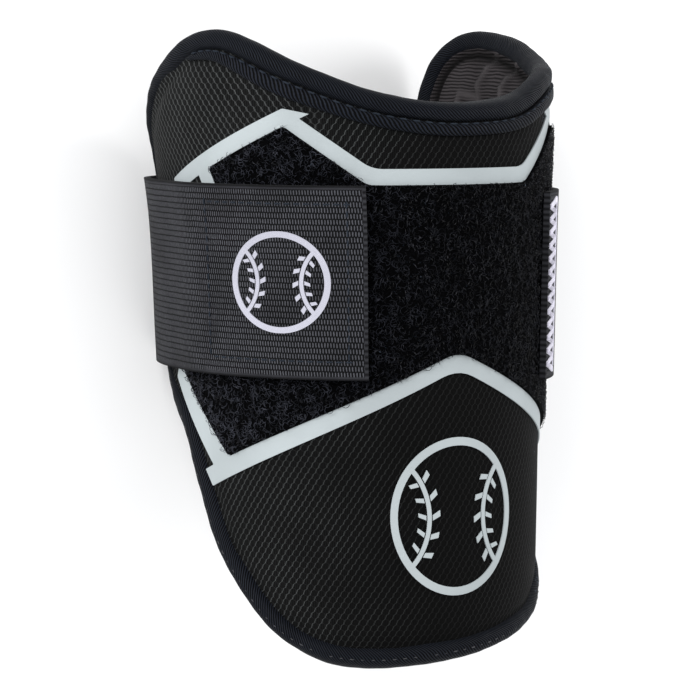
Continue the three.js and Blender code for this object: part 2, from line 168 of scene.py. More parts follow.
def colour(name, description, value):
    return bpy.props.FloatVectorProperty(
        name=name, description=description, default=value, size=3, min=0, max=1, subtype="COLOR"
    )


class GuardColours(bpy.types.PropertyGroup):
    """Base colours of the guard's materials, linear."""

    mesh_ground: colour("Mesh ground", "Shadowed ground of the knitted mesh", (0.0012, 0.0012, 0.0012))
    mesh_yarn: colour("Mesh yarn", "Raised yarns of the knitted mesh", (0.058, 0.062, 0.062))
    binding: colour("Binding", "Twill tape round the rim", (0.005, 0.0064, 0.0102))
    lining: colour("Lining", "Ribbed lining", (0.048, 0.0425, 0.045))
    pile: colour("Pile", "Loop pile of the patch", (0.002, 0.002, 0.0028))
    fibre: colour("Fibre", "Curled fibres of the loop patch", (0.008, 0.0085, 0.011))
    film: colour("Film", "Printed border and ball", (0.37, 0.407, 0.418))
    elastic: colour("Elastic", "Elastic webbing", (0.0245, 0.025, 0.0288))
    ink: colour("Ink", "Print on the strap", (0.4, 0.4, 0.46))
    white_thread: colour("White thread", "Zigzag stitching", (0.84, 0.82, 0.97))
    dark_thread: colour("Dark thread", "Stitching on the welt and the strap", (0.02, 0.026, 0.036))
    grey_thread: colour("Grey thread", "Stitching along the binding", (0.07, 0.07, 0.075))
    hook_ground: colour("Hook ground", "Tape between the hooks", (0.003, 0.003, 0.004))
    hooks: colour("Hooks", "Hooks of the hook strip", (0.016, 0.016, 0.02))
    floor: colour("Floor", "Ground under the guard", (0.96, 0.96, 0.96))


def mm(name):
    """A size of the guard in millimetres."""
    return getattr(sizes(), name) / MM


def tip():
    return -mm("strap_level")


def degree():
    return (mm("half_width") + mm("half_depth")) / 2 * math.pi / 180


def middle_height():
    return mm("edge_drop") + mm("gap") + mm("strap_wall")


def smooth_column(table, key, column, x):
    """Smooth values of one column of a table at x, with x read from another column."""
    keys = np.array(table[key], float)
    values = np.array(table[column], float)
    k = np.clip(np.searchsorted(keys, x, side="left") - 1, 0, len(keys) - 2)
    before, after = np.maximum(k - 1, 0), np.minimum(k + 2, len(keys) - 1)
    slope_in = (values[k + 1] - values[before]) / (keys[k + 1] - keys[before])
    slope_out = (values[after] - values[k]) / (keys[after] - keys[k])
    span = keys[k + 1] - keys[k]
    t = np.clip((x - keys[k]) / span, 0, 1)
    return (
        (2 * t**3 - 3 * t**2 + 1) * values[k]
        + (t**3 - 2 * t**2 + t) * span * slope_in
        + (3 * t**2 - 2 * t**3) * values[k + 1]
        + (t**3 - t**2) * span * slope_out
    )


def smooth_step(x, low, high):
    t = np.clip((x - low) / (high - low), 0, 1)
    return t * t * (3 - 2 * t)


def bell(x, middle, width):
    """A smooth bump of height 1 round the middle."""
    return np.exp(-(((x - middle) / width) ** 2))


def uneven(along, *waves):
    """Slight unevenness along a seam: a sum of waves, each with its height, turn rate and start."""
    return sum(height * np.sin(along * rate + start) for height, rate, start in waves)


def section_at(y):
    station = (y - tip()) / mm("length")
    width = mm("half_width") * smooth_column(SECTIONS, "station", "width", station)
    depth = mm("half_depth") * smooth_column(SECTIONS, "station", "depth", station)
    sink = mm("half_depth") * smooth_column(SECTIONS, "station", "sink", station)
    return width, depth, sink


def on_shell(u, y, lift):
    """Points on the shell, in millimetres, raised off its outer face by lift."""
    u, y, lift = np.broadcast_arrays(np.asarray(u, float), np.asarray(y, float), np.asarray(lift, float))
    width, depth, sink = section_at(y)
    wrap = np.radians(u / degree())
    across, up = np.sin(wrap) / width, np.cos(wrap) / depth
    size = np.hypot(across, up)
    x = width * np.sin(wrap) + lift * across / size
    z = middle_height() + depth * np.cos(wrap) - sink + lift * up / size
    return np.stack([x, y, z], axis=-1)


def side_reach(y):
    _, depth, sink = section_at(np.asarray(y, float))
    return np.degrees(np.arccos((sink - mm("edge_drop")) / depth)) * degree()


def rim_ends(share):
    """Lower and upper ends of the rim's column at a share of the way round."""
    ends = []
    for column in ("low", "high"):
        y = tip() + mm("length") * smooth_column(COLUMNS, "around", column, share)
        ends.append((share * side_reach(y), y))
    return ends


def column_share(steps):
    """Share of the way round to the side edge, at steps counted in columns from the left."""
    return np.interp(steps, np.arange(len(COLUMNS["around"])), COLUMNS["around"])


def rim_path(count, samples=240, side_steps=24, passes=6):
    """Evenly spaced flat points once round the rim, the outward direction and the run at each."""
    share = column_share(np.linspace(0, len(COLUMNS["around"]) - 1, samples))
    (low_u, low_y), (high_u, high_y) = rim_ends(share)
    steps = np.linspace(0, 1, side_steps)[1:-1]
    right_y = low_y[-1] + (high_y[-1] - low_y[-1]) * steps
    left_y = high_y[0] + (low_y[0] - high_y[0]) * steps
    u = np.concatenate([low_u, side_reach(right_y), high_u[::-1], -side_reach(left_y)])
    y = np.concatenate([low_y, right_y, high_y[::-1], left_y])
    loop = np.stack([np.append(u, u[0]), np.append(y, y[0])])
    along = np.append(0, np.cumsum(np.hypot(*np.diff(loop))))
    even = np.linspace(0, along[-1], count, endpoint=False)
    points = np.stack([np.interp(even, along, loop[0]), np.interp(even, along, loop[1])], axis=1)
    for _ in range(passes):
        points = (np.roll(points, 1, axis=0) + 2 * points + np.roll(points, -1, axis=0)) / 4
    tangent = np.roll(points, -1, axis=0) - np.roll(points, 1, axis=0)
    tangent /= np.linalg.norm(tangent, axis=1, keepdims=True)
    return points, np.stack([tangent[:, 1], -tangent[:, 0]], axis=1), even


def thinning(u, y):
    """How far the rim has thinned towards the side edges, from 0 to 1. It thins early in the ears."""
    ear_level, ear_start, side_start, run = 36, 12, 88, 24
    start = np.where(y > ear_level, ear_start, side_start)
    return smooth_step(np.abs(u), start, start + run)


def from_rim(u, y):
    """Distance from each flat point to the rim."""
    rim, _, _ = rim_path(count=400)
    flat = np.stack([u, y], axis=1)
    return np.array([np.hypot(*(rim - point).T).min() for point in flat])


def from_line(u, y, line):
    """Distance from each flat point to a broken line."""
    flat = np.stack([u, y], axis=1)
    best = np.full(len(flat), np.inf)
    for a, b in zip(np.array(line[:-1], float), np.array(line[1:], float)):
        t = np.clip((flat - a) @ (b - a) / ((b - a) @ (b - a)), 0, 1)
        best = np.minimum(best, np.linalg.norm(flat - a - t[:, None] * (b - a), axis=1))
    return best


# Mesh helpers


def select_only(piece):
    bpy.ops.object.select_all(action="DESELECT")
    piece.select_set(True)
    bpy.context.view_layer.objects.active = piece


def edit(piece, *steps):
    """Runs edit mode operators on the whole of a piece."""
    select_only(piece)
    bpy.ops.object.mode_set(mode="EDIT")
    bpy.ops.mesh.select_all(action="SELECT")
    for step in steps:
        step()
    bpy.ops.object.mode_set(mode="OBJECT")


def cut_all(place, normal):
    """Edit mode step: cuts the whole piece along a plane."""
    bpy.ops.mesh.select_all(action="SELECT")
    bpy.ops.mesh.bisect(plane_co=place, plane_no=normal)


def read_points(piece):
    points = np.empty(len(piece.data.vertices) * 3)
    piece.data.vertices.foreach_get("co", points)
    return points.reshape(-1, 3)


def write_points(piece, points):
    piece.data.vertices.foreach_set("co", np.ascontiguousarray(points).ravel())
    piece.data.update()


def write_flat_map(piece, flat):
    """Keeps each corner's place when laid flat, in millimetres, as the map that the weaves follow."""
    layer = piece.data.uv_layers.get("flat") or piece.data.uv_layers.new(name="flat")
    corners = np.empty(len(piece.data.loops), int)
    piece.data.loops.foreach_get("vertex_index", corners)
    layer.data.foreach_set("uv", np.ascontiguousarray(flat[corners]).ravel())


def add_grid(name, columns, rows):
    """A flat grid. Gives the piece, and the shares across and up of each of its points."""
    bpy.ops.object.select_all(action="DESELECT")
    bpy.ops.mesh.primitive_grid_add(x_subdivisions=columns, y_subdivisions=rows, size=1)
    piece = bpy.context.object
    piece.name = piece.data.name = name
    while piece.data.uv_layers:
        piece.data.uv_layers.remove(piece.data.uv_layers[0])
    points = read_points(piece) + 0.5
    return piece, points[:, 0], points[:, 1]


def thicken(piece, wall, offset):
    """Gives a sheet its thickness. offset is 1 outwards or -1 inwards."""
    select_only(piece)
    bpy.ops.object.modifier_add(type="SOLIDIFY")
    wall_maker = piece.modifiers[-1]
    wall_maker.thickness = wall * MM
    wall_maker.offset = offset
    wall_maker.use_even_offset = True
    bpy.ops.object.modifier_apply(modifier=wall_maker.name)


def soften(piece, angle=50):
    select_only(piece)
    bpy.ops.object.shade_smooth_by_angle(angle=math.radians(angle))


def close_seams(piece):
    edit(
        piece,
        lambda: bpy.ops.mesh.remove_doubles(threshold=MERGE_DISTANCE),
        lambda: bpy.ops.mesh.normals_make_consistent(inside=False),
    )


def finish(piece, material, slot, *nodes):
    """Gives a piece its material and its body, and hides the model's parts for the nodes that it stands for.
    """
    piece.data.materials.clear()
    piece.data.materials.append(material)
    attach(piece, "root")
    if nodes:
        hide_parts(*nodes)


def tube(name, path, out, across, rise, sides, closed, run, girth):
    """A soft roll that follows a flat path. across and rise give its section at each station as
    centre and half size, out from the path and up off the shell. Its map is run long and girth round."""
    count = len(path)
    last = count if closed else count - 1
    piece, s, t = add_grid(name, last, sides)
    station = np.rint(s * last).astype(int) % count
    angle = t * FULL_TURN
    round_off = 0.8
    cosine = np.sign(np.cos(angle)) * np.abs(np.cos(angle)) ** round_off
    sine = np.sign(np.sin(angle)) * np.abs(np.sin(angle)) ** round_off
    reach = across[0][station] + across[1][station] * cosine
    lift = rise[0][station] + rise[1][station] * sine
    flat = path[station] + out[station] * reach[:, None]
    write_flat_map(piece, np.stack([s * run, t * girth], axis=1))
    write_points(piece, on_shell(flat[:, 0], flat[:, 1], lift) * MM)
    return piece


def copies(name, model, places, turns, scales=None):
    """Many copies of a small model as one mesh. places are points and turns 3 by 3 matrices."""
    points = read_points(model)
    faces = [tuple(face.vertices) for face in model.data.polygons]
    scales = np.ones(len(places)) if scales is None else scales
    placed = np.einsum("nij,mj->nmi", turns * scales[:, None, None], points) + places[:, None, :]
    all_faces = [tuple(k * len(points) + i for i in face) for k in range(len(places)) for face in faces]
    mesh = bpy.data.meshes.new(name)
    mesh.from_pydata(placed.reshape(-1, 3).tolist(), [], all_faces)
    piece = bpy.data.objects.new(name, mesh)
    bpy.context.scene.collection.objects.link(piece)
    bpy.data.objects.remove(model)
    return piece


def shell_frames(u, y, lift, heading):
    """Places in metres and axes on the shell: the first axis lies along heading, the last points out."""
    step = 0.2
    here = on_shell(u, y, lift)
    ahead = on_shell(u + step * np.cos(heading), y + step * np.sin(heading), lift)
    out = on_shell(u, y, lift + 1) - here
    along = ahead - here
    along /= np.linalg.norm(along, axis=1, keepdims=True)
    out /= np.linalg.norm(out, axis=1, keepdims=True)
    side = np.cross(out, along)
    return here * MM, np.stack([along, side, out], axis=2)


def stitch_model(length, radius):
    """One stitch: a short rod whose ends narrow and dip, along X."""
    cut, end, narrowed, dip = 0.25, 0.4, 0.55, 0.9
    bpy.ops.object.select_all(action="DESELECT")
    bpy.ops.mesh.primitive_cylinder_add(vertices=6, radius=radius * MM, depth=length * MM)
    model = bpy.context.object
    edit(model, *[partial(cut_all, (0, 0, share * length * MM), (0, 0, 1)) for share in (cut, -cut)])
    points = read_points(model)[:, [2, 0, 1]]
    ends = np.abs(points[:, 0]) > end * length * MM
    points[ends, 1:] *= narrowed
    points[ends, 2] -= dip * radius * MM
    write_points(model, points)
    return model


# Materials


class Graph:
    """Adds and joins shader nodes in one tree."""

    def __init__(self, tree):
        self.tree = tree

    def node(self, kind, inputs=None, **settings):
        made = self.tree.nodes.new(kind)
        for key, value in settings.items():
            setattr(made, key, value)
        for key, value in (inputs or {}).items():
            self.put(value, made.inputs[key])
        return made

    def put(self, value, socket):
        if isinstance(value, bpy.types.NodeSocket):
            self.tree.links.new(value, socket)
        else:
            socket.default_value = value

    def math(self, operation, a, b=0.0, c=0.0):
        made = self.node("ShaderNodeMath", operation=operation)
        for socket, value in zip(made.inputs, (a, b, c)):
            self.put(value, socket)
        return made.outputs[0]

    def add(self, a, b):
        return self.math("ADD", a, b)

    def sub(self, a, b):
        return self.math("SUBTRACT", a, b)

    def mul(self, a, b):
        return self.math("MULTIPLY", a, b)

    def div(self, a, b):
        return self.math("DIVIDE", a, b)

    def mul_add(self, a, b, c):
        return self.math("MULTIPLY_ADD", a, b, c)

    def split(self, vector):
        """The three parts of a vector."""
        return self.node("ShaderNodeSeparateXYZ", inputs={0: vector}).outputs

    def ramp(self, value, low, high, to_low=0.0, to_high=1.0):
        """Smoothly from to_low at low to to_high at high."""
        made = self.node("ShaderNodeMapRange", interpolation_type="SMOOTHSTEP")
        for socket, given in zip(made.inputs, (value, low, high, to_low, to_high)):
            self.put(given, socket)
        return made.outputs[0]

    def mix(self, factor, a, b):
        made = self.node("ShaderNodeMix", data_type="RGBA")
        self.put(factor, made.inputs[0])
        self.put(a, made.inputs[6])
        self.put(b, made.inputs[7])
        return made.outputs[2]

    def noise(self, vector, scale, detail=3.0, roughness=0.5):
        values = {"Vector": vector, "Scale": scale, "Detail": detail, "Roughness": roughness}
        return self.node("ShaderNodeTexNoise", inputs=values).outputs["Fac"]

    def wave(self, value, period):
        """A smooth wave from 0 to 1 along value."""
        angle = self.mul(value, FULL_TURN / period)
        return self.mul_add(self.math("COSINE", angle), 0.5, 0.5)


def opaque(rgb, factor=1.0):
    return (*[min(1.0, channel * factor) for channel in rgb], 1.0)


def new_group(name, inputs, outputs):
    """An empty node group. inputs are (name, kind, value) rows and outputs (name, kind) rows. Gives its
    graph and the nodes that bring values in and out."""
    group = bpy.data.node_groups.new(name, "ShaderNodeTree")
    for title, kind, value in inputs:
        socket = group.interface.new_socket(title, in_out="INPUT", socket_type=kind)
        socket.default_value = value
    for title, kind in outputs:
        group.interface.new_socket(title, in_out="OUTPUT", socket_type=kind)
    graph = Graph(group)
    return graph, graph.node("NodeGroupInput"), graph.node("NodeGroupOutput")


FLOAT = "NodeSocketFloat"


def lint_group():
    """Fine lint and wear: uneven shade over a surface, and sparse pale specks. More specks gather on surfaces
    at the right that face right, as painted highlights of grazing light from the right.
    """
    rows = (
        ("Patch Size", FLOAT, 12.0),
        ("Speck Size", FLOAT, 0.35),
        ("Speck Share", FLOAT, 0.06),
        ("Flank Share", FLOAT, 0.0),
    )
    graph, given, out = new_group("lint_wear_and_glint", rows, (("Shade", FLOAT), ("Specks", FLOAT)))
    texture_place = graph.node("ShaderNodeTexCoord").outputs
    place = texture_place["Object"]
    per_metre = 1 / MM
    broad = graph.noise(place, graph.div(per_metre, given.outputs["Patch Size"]), 4.0)
    graph.put(graph.ramp(broad, 0.3, 0.7, 0.72, 1.25), out.inputs["Shade"])
    scale = graph.div(per_metre, given.outputs["Speck Size"])
    cells = graph.node("ShaderNodeTexVoronoi", inputs={"Vector": place, "Scale": scale})
    pick = graph.node("ShaderNodeSeparateColor", inputs={"Color": cells.outputs["Color"]}).outputs[0]
    # Painted highlight: extra specks at the right, on surfaces that face right, where grazing light falls
    # from the right.
    rightward = graph.split(texture_place["Normal"])[0]
    across = graph.split(place)[0]
    near = graph.mul(graph.ramp(across, 33 * MM, 51 * MM), graph.ramp(rightward, -0.1, 0.4))
    flank = graph.mul(near, given.outputs["Flank Share"])
    chosen = graph.math("LESS_THAN", pick, graph.add(given.outputs["Speck Share"], flank))
    dot = graph.ramp(cells.outputs["Distance"], 0.55, 0.15)
    graph.put(graph.mul(chosen, dot), out.inputs["Specks"])


def twill_group():
    """Fine slanting ridges of a twill tape, along its flat map."""
    rows = (("Pitch", FLOAT, 1.05), ("Slant", FLOAT, 0.9), ("Unevenness", FLOAT, 0.35))
    graph, given, out = new_group("twill_ridges", rows, (("Ridge", FLOAT), ("Thread", FLOAT)))
    place = graph.node("ShaderNodeUVMap", uv_map="flat").outputs[0]
    parts = graph.split(place)
    wobble = graph.mul(graph.noise(place, 0.6, 2.0), given.outputs["Unevenness"])
    slanted = graph.mul_add(parts[1], given.outputs["Slant"], parts[0])
    turns = graph.div(graph.add(slanted, wobble), given.outputs["Pitch"])
    ridge = graph.wave(turns, 1.0)
    graph.put(graph.ramp(ridge, 0.25, 0.85), out.inputs["Ridge"])
    ply = graph.wave(graph.sub(parts[1], graph.mul(turns, 0.3)), 0.5)
    graph.put(graph.mul(ridge, ply), out.inputs["Thread"])


def socket_name(key):
    return key.replace("_", " ").title().replace("Ior", "IOR")


class Finish:
    """One material: its graph and its shader."""

    def __init__(self, name, **constants):
        made = bpy.data.materials.new(name)
        made.use_nodes = True
        self.graph = Graph(made.node_tree)
        self.shader = made.node_tree.nodes["Principled BSDF"]
        for key, value in {"specular_ior_level": 0.08, **constants}.items():
            self.shader.inputs[socket_name(key)].default_value = value

    def flat(self):
        """The flat map: the place on it, round the arm and along it."""
        place = self.graph.node("ShaderNodeUVMap", uv_map="flat").outputs[0]
        parts = self.graph.split(place)
        return place, parts[0], parts[1]

    def solid(self):
        """The three parts of the place in the object, in metres."""
        return self.graph.split(self.graph.node("ShaderNodeTexCoord").outputs["Object"])

    def group(self, name, **values):
        made = self.graph.node("ShaderNodeGroup", node_tree=bpy.data.node_groups[name])
        for key, value in values.items():
            self.graph.put(value, made.inputs[socket_name(key)])
        return made.outputs

    def wear_and_glint(self, patch_size, speck_size, speck_share=0.0, flank_share=0.0):
        """Shade and specks of lint, with painted highlight specks on the right flank."""
        return self.group(
            "lint_wear_and_glint",
            patch_size=patch_size,
            speck_size=speck_size,
            speck_share=speck_share,
            flank_share=flank_share,
        )

    def tint(self, shade, rgb, dark, light=1.0):
        """A colour that runs with shade from dark times rgb to light times rgb."""
        return self.graph.mix(shade, opaque(rgb, dark), opaque(rgb, light))

    def colour(self, value):
        self.graph.put(value, self.shader.inputs["Base Color"])

    def roughness(self, value, at_low, at_high, low=0.0, high=1.0):
        self.graph.put(self.graph.ramp(value, low, high, at_low, at_high), self.shader.inputs["Roughness"])

    def bump(self, height, distance):
        made = self.graph.node("ShaderNodeBump", inputs={"Height": height, "Distance": distance * MM})
        self.graph.put(1.0, made.inputs["Strength"])
        self.graph.put(made.outputs[0], self.shader.inputs["Normal"])


def mesh_fabric():
    """Knitted spacer mesh: wavy yarns that meet and part round small dark holes. One side of each yarn
    carries a painted highlight, and that side turns over in the upper left, where painted light makes the
    mesh brighter. The mesh is also darker towards the bottom."""
    made = Finish("knitted_mesh", sheen_weight=0.02, sheen_roughness=0.35)
    g = made.graph
    place, u, y = made.flat()
    spacing, period, swing, rib_pitch = 1.15, 3.1, 0.39, 0.6
    warp = g.mul_add(g.noise(place, 0.25, 2.0), 0.6, u)
    turns = g.div(warp, spacing)
    side = g.mul_add(g.math("PINGPONG", g.math("FLOOR", turns), 1.0), 2.0, -1.0)
    angle = g.mul(g.mul_add(g.noise(place, 0.5, 2.0), 0.5, y), FULL_TURN / period)
    bend = g.ramp(g.math("SINE", angle), -0.75, 0.75, -swing, swing)
    away = g.sub(g.sub(g.math("FRACT", turns), 0.5), g.mul(bend, side))
    yarn = g.ramp(g.math("ABSOLUTE", away), 0.24, 0.04)
    # Painted highlight: one lit side of each yarn, which turns over in the upper left.
    upper = g.mul(g.ramp(u, -24.0, -58.0), g.ramp(y, -20.0, 20.0))
    slope = g.mul(g.mul(g.math("COSINE", angle), side), g.mul_add(upper, -1.9, 1.0))
    facing = g.math("MAXIMUM", g.ramp(slope, -0.5, 0.6, 0.1, 1.0), g.mul(upper, 0.2))
    ply = g.mul_add(g.wave(g.mul_add(warp, 0.8, y), 0.55), 0.35, 0.65)
    ribs = g.mul(g.wave(warp, rib_pitch), 0.07)
    lit = g.math("MAXIMUM", g.mul(g.mul(yarn, facing), ply), ribs)
    # More pale specks on the right flank, as painted highlights of grazing light from the right.
    wear_and_glint = made.wear_and_glint(18.0, 0.5, flank_share=0.25)
    # Painted light: brighter towards the left, where light falls from the left. The mesh is also darker
    # towards the bottom, and all of it is times the random tone.
    painted_light_and_tone = g.mul(g.ramp(u, 0.0, -62.0, 0.22, 2.0), wear_and_glint["Shade"])
    painted_light_and_tone = g.mul(g.ramp(y, -50.0, 30.0, 0.47, 1.0), painted_light_and_tone)
    woven = g.mix(g.mul(lit, painted_light_and_tone), opaque(colours().mesh_ground), opaque(colours().mesh_yarn))
    made.colour(g.mix(wear_and_glint["Specks"], woven, SPECKS["mesh"]))
    made.roughness(lit, 0.95, 0.6)
    made.bump(g.math("MAXIMUM", yarn, ribs), 0.25)


def binding_tape():
    """Twill tape: slanting ridges, darkest between them."""
    made = Finish("twill_tape", sheen_weight=0.015, sheen_roughness=0.35)
    g = made.graph
    weave = made.group("twill_ridges")
    # More pale specks on the right flank, as painted highlights of grazing light from the right.
    wear_and_glint = made.wear_and_glint(9.0, 0.5, flank_share=0.3)
    depth = g.mul(g.mul_add(weave["Thread"], 0.5, weave["Ridge"]), wear_and_glint["Shade"])
    made.colour(g.mix(wear_and_glint["Specks"], made.tint(depth, colours().binding, 0.0, 1.75), SPECKS["binding"]))
    made.roughness(weave["Ridge"], 0.85, 0.55)
    made.bump(weave["Ridge"], 0.35)


def lining_fabric():
    """Ribbed knit, smooth where the foam is welded into raised lines, and dark with painted shadow in the
    groove beside the binding.
    """
    made = Finish("ribbed_lining")
    g = made.graph
    place, u, y = made.flat()
    rib_pitch, knit_pitch = 1.0, 0.6
    weld = g.node("ShaderNodeAttribute", attribute_name="weld").outputs["Fac"]
    groove = g.node("ShaderNodeAttribute", attribute_name="groove").outputs["Fac"]
    rib = g.wave(g.mul_add(g.noise(place, 0.12, 2.0), 1.6, y), rib_pitch)
    knit = g.wave(g.mul_add(rib, 0.25, u), knit_pitch)
    raised = g.mul(g.mul_add(knit, 0.25, 0.75), g.math("POWER", rib, 0.6))
    fabric = g.math("MAXIMUM", raised, g.mul(weld, 0.8))
    wear_and_glint = made.wear_and_glint(14.0, 0.4, speck_share=0.05)
    # Painted shadow: the lining darkens in the groove beside the binding.
    shade = g.mul(g.mul(fabric, wear_and_glint["Shade"]), g.sub(1.0, groove))
    made.colour(made.tint(shade, colours().lining, 0.08))
    made.roughness(weld, 0.85, 0.5)
    made.bump(fabric, 0.4)


def loop_pile():
    """The dark tangle under the curled fibres."""
    made = Finish("pile_fabric", specular_ior_level=0.03)
    g = made.graph
    place, _, _ = made.flat()
    stretched = g.node("ShaderNodeMapping", inputs={"Vector": place, "Scale": (1.0, 0.8, 1.0)}).outputs[0]
    swirl = g.node("ShaderNodeTexNoise", inputs={"Vector": stretched, "Scale": 0.8, "Detail": 2.0})
    warped = g.node("ShaderNodeVectorMath", inputs={0: stretched, 1: swirl.outputs["Color"]}, operation="ADD")
    tangle = g.noise(warped.outputs[0], 3.2, 6.0, 0.7)
    # More pale specks on the right flank, as painted highlights of grazing light from the right.
    wear_and_glint = made.wear_and_glint(7.0, 0.35, speck_share=0.03, flank_share=0.3)
    shade = g.mul(g.ramp(tangle, 0.42, 0.72), wear_and_glint["Shade"])
    base = made.tint(shade, colours().pile, 0.1, 1.2)
    made.colour(g.mix(g.mul(wear_and_glint["Specks"], 0.3), base, SPECKS["pile"]))
    made.roughness(tangle, 0.95, 0.7, low=0.3, high=0.7)
    made.bump(tangle, 0.6)


def matte_film(name, rgb):
    """Matte printed film, a little uneven, with the ground's texture showing through."""
    made = Finish(name)
    g = made.graph
    place, _, _ = made.flat()
    grain = g.noise(place, 2.4, 4.0, 0.6)
    wear_and_glint = made.wear_and_glint(25.0, 0.5, speck_share=0.02)
    shade = g.mul_add(grain, 0.3, g.mul(g.ramp(wear_and_glint["Shade"], 0.7, 1.25), 0.7))
    made.colour(made.tint(shade, rgb, 0.9, 1.04))
    made.roughness(grain, 0.46, 0.6, low=0.3, high=0.7)
    made.bump(grain, 0.05)


def elastic_web():
    """Woven elastic: ribs along the strap, each made of short upright stitches, and plain edges."""
    made = Finish("woven_elastic", sheen_weight=0.02, sheen_roughness=0.35)
    g = made.graph
    place, u, y = made.flat()
    rib_pitch, stitch_pitch, selvedge = 1.6, 0.82, 1.2
    turns = g.div(g.mul_add(g.noise(place, 0.3, 2.0), 0.3, y), rib_pitch)
    in_row = g.sub(g.math("FRACT", turns), 0.5)
    rib = g.ramp(g.math("ABSOLUTE", in_row), 0.5, 0.3)
    slip = g.mul(g.math("PINGPONG", g.math("FLOOR", turns), 1.0), 0.32)
    lean = g.mul_add(in_row, 0.08, slip)
    stitch = g.wave(g.add(g.mul_add(g.noise(place, 1.4, 2.0), 0.3, u), lean), stitch_pitch)
    cell = g.mul(rib, g.ramp(stitch, 0.3, 0.9, 0.03, 1.0))
    side = g.sub(mm("strap_width") / 2, g.math("ABSOLUTE", y))
    near_end = g.sub(FREE_END * degree(), u)
    far_end = g.add(u, strap_length() - FREE_END * degree())
    inward = g.math("MINIMUM", side, g.math("MINIMUM", near_end, far_end))
    edge = g.ramp(inward, selvedge, selvedge * 0.6)
    plain = g.mul_add(g.wave(y, rib_pitch), 0.3, 0.06)
    web = g.add(g.mul(cell, g.sub(1.0, edge)), g.mul(edge, plain))
    wear_and_glint = made.wear_and_glint(16.0, 0.3, speck_share=0.04)
    made.colour(made.tint(g.mul(web, wear_and_glint["Shade"]), colours().elastic, 0.05, 2.8))
    made.roughness(web, 0.9, 0.6)
    made.bump(web, 0.3)


def hook_tape():
    """Rows of small hooks."""
    made = Finish("hook_fabric")
    g = made.graph
    _, u, y = made.flat()
    pitch = 1.3
    hooks = g.mul(g.wave(u, pitch), g.wave(y, pitch))
    wear_and_glint = made.wear_and_glint(10.0, 0.3, speck_share=0.03)
    shade = g.mul(hooks, wear_and_glint["Shade"])
    made.colour(g.mix(shade, opaque(colours().hook_ground), opaque(colours().hooks)))
    made.roughness(hooks, 0.7, 0.4)
    made.bump(hooks, 0.6)


def thread(name, rgb):
    """Twisted thread."""
    made = Finish(name)
    g = made.graph
    x, y, z = made.solid()
    twist = 0.3 * MM
    ply = g.wave(g.add(g.add(x, y), z), twist)
    wear_and_glint = made.wear_and_glint(4.0, 0.2, speck_share=0.05)
    made.colour(made.tint(g.mul(g.mul_add(ply, 0.5, 0.5), wear_and_glint["Shade"]), rgb, 0.45, 1.1))
    made.roughness(ply, 0.8, 0.6)
    made.bump(ply, 0.06)


def fibre():
    """Curled fibres: some painted as lit and some dark, and darker towards the right, as painted light that
    falls from the left.
    """
    made = Finish("pile_fibre", specular_ior_level=0.15, roughness=0.4)
    g = made.graph
    across = made.solid()[0]
    # More pale specks on the right flank, as painted highlights of grazing light from the right.
    wear_and_glint = made.wear_and_glint(2.6, 0.6, speck_share=0.001, flank_share=0.3)
    # Painted light: fibres lit in random patches, and darker towards the right, away from light that falls
    # from the left.
    lit = g.mul(g.ramp(wear_and_glint["Shade"], 0.6, 1.25), g.ramp(across, -5 * MM, -42 * MM, 0.27, 1.0))
    made.colour(g.mix(wear_and_glint["Specks"], made.tint(lit, colours().fibre, 0.0, 5.0), SPECKS["fibre"]))


def floor_paper():
    """Plain white paper."""
    made = Finish("studio_floor", roughness=0.9)
    wear_and_glint = made.wear_and_glint(300.0, 40.0)
    made.colour(made.tint(made.graph.ramp(wear_and_glint["Shade"], 0.7, 1.25), colours().floor, 0.99))


FABRICS = (
    mesh_fabric,
    binding_tape,
    lining_fabric,
    loop_pile,
    elastic_web,
    hook_tape,
    fibre,
    floor_paper,
)


def material(name):
    """One of the guard's materials, all of which are made the first time."""
    if name not in bpy.data.materials:
        lint_group()
        twill_group()
        for make in FABRICS:
            make()
        matte_film("printed_film", colours().film)
        matte_film("strap_ink", colours().ink)
        for thread_name in ("white_thread", "dark_thread", "grey_thread"):
            thread(thread_name, getattr(colours(), thread_name))
    return bpy.data.materials[name]


# Shell, lining and rim


def wall_grid(name, columns, rows):
    """A grid that fills the rim less EDGE_INSET, finer near its ends. Gives the piece and its flat points."""
    piece, s, t = add_grid(name, columns, rows)
    (low_u, low_y), (high_u, high_y) = rim_ends(column_share(s * (len(COLUMNS["around"]) - 1)))
    crowding = 0.7
    blend = t - crowding * np.sin(FULL_TURN * t) / FULL_TURN
    y = low_y + EDGE_INSET + (high_y - low_y - 2 * EDGE_INSET) * blend
    u = (low_u + (high_u - low_u) * blend) * (1 - EDGE_INSET / side_reach(0.0))
    return piece, u, y


class GUARD_OT_shell(bpy.types.Operator):
    """Build the shell with its knitted mesh face"""

    bl_idname = "guard.shell"
    bl_label = "Shell"

    def execute(self, context):
        piece, u, y = wall_grid("mesh_cover", 230, 120)
        dip, dip_place, dip_width = 0.8, 7.0, 2.0
        write_flat_map(piece, np.stack([u, y], axis=1))
        write_points(piece, on_shell(u, y, -dip * bell(from_rim(u, y), dip_place, dip_width)) * MM)
        thicken(piece, mm("shell_wall") - dip, -1)
        soften(piece)
        finish(piece, material("knitted_mesh"), "mesh_fabric", "shield_shell")
        return {"FINISHED"}


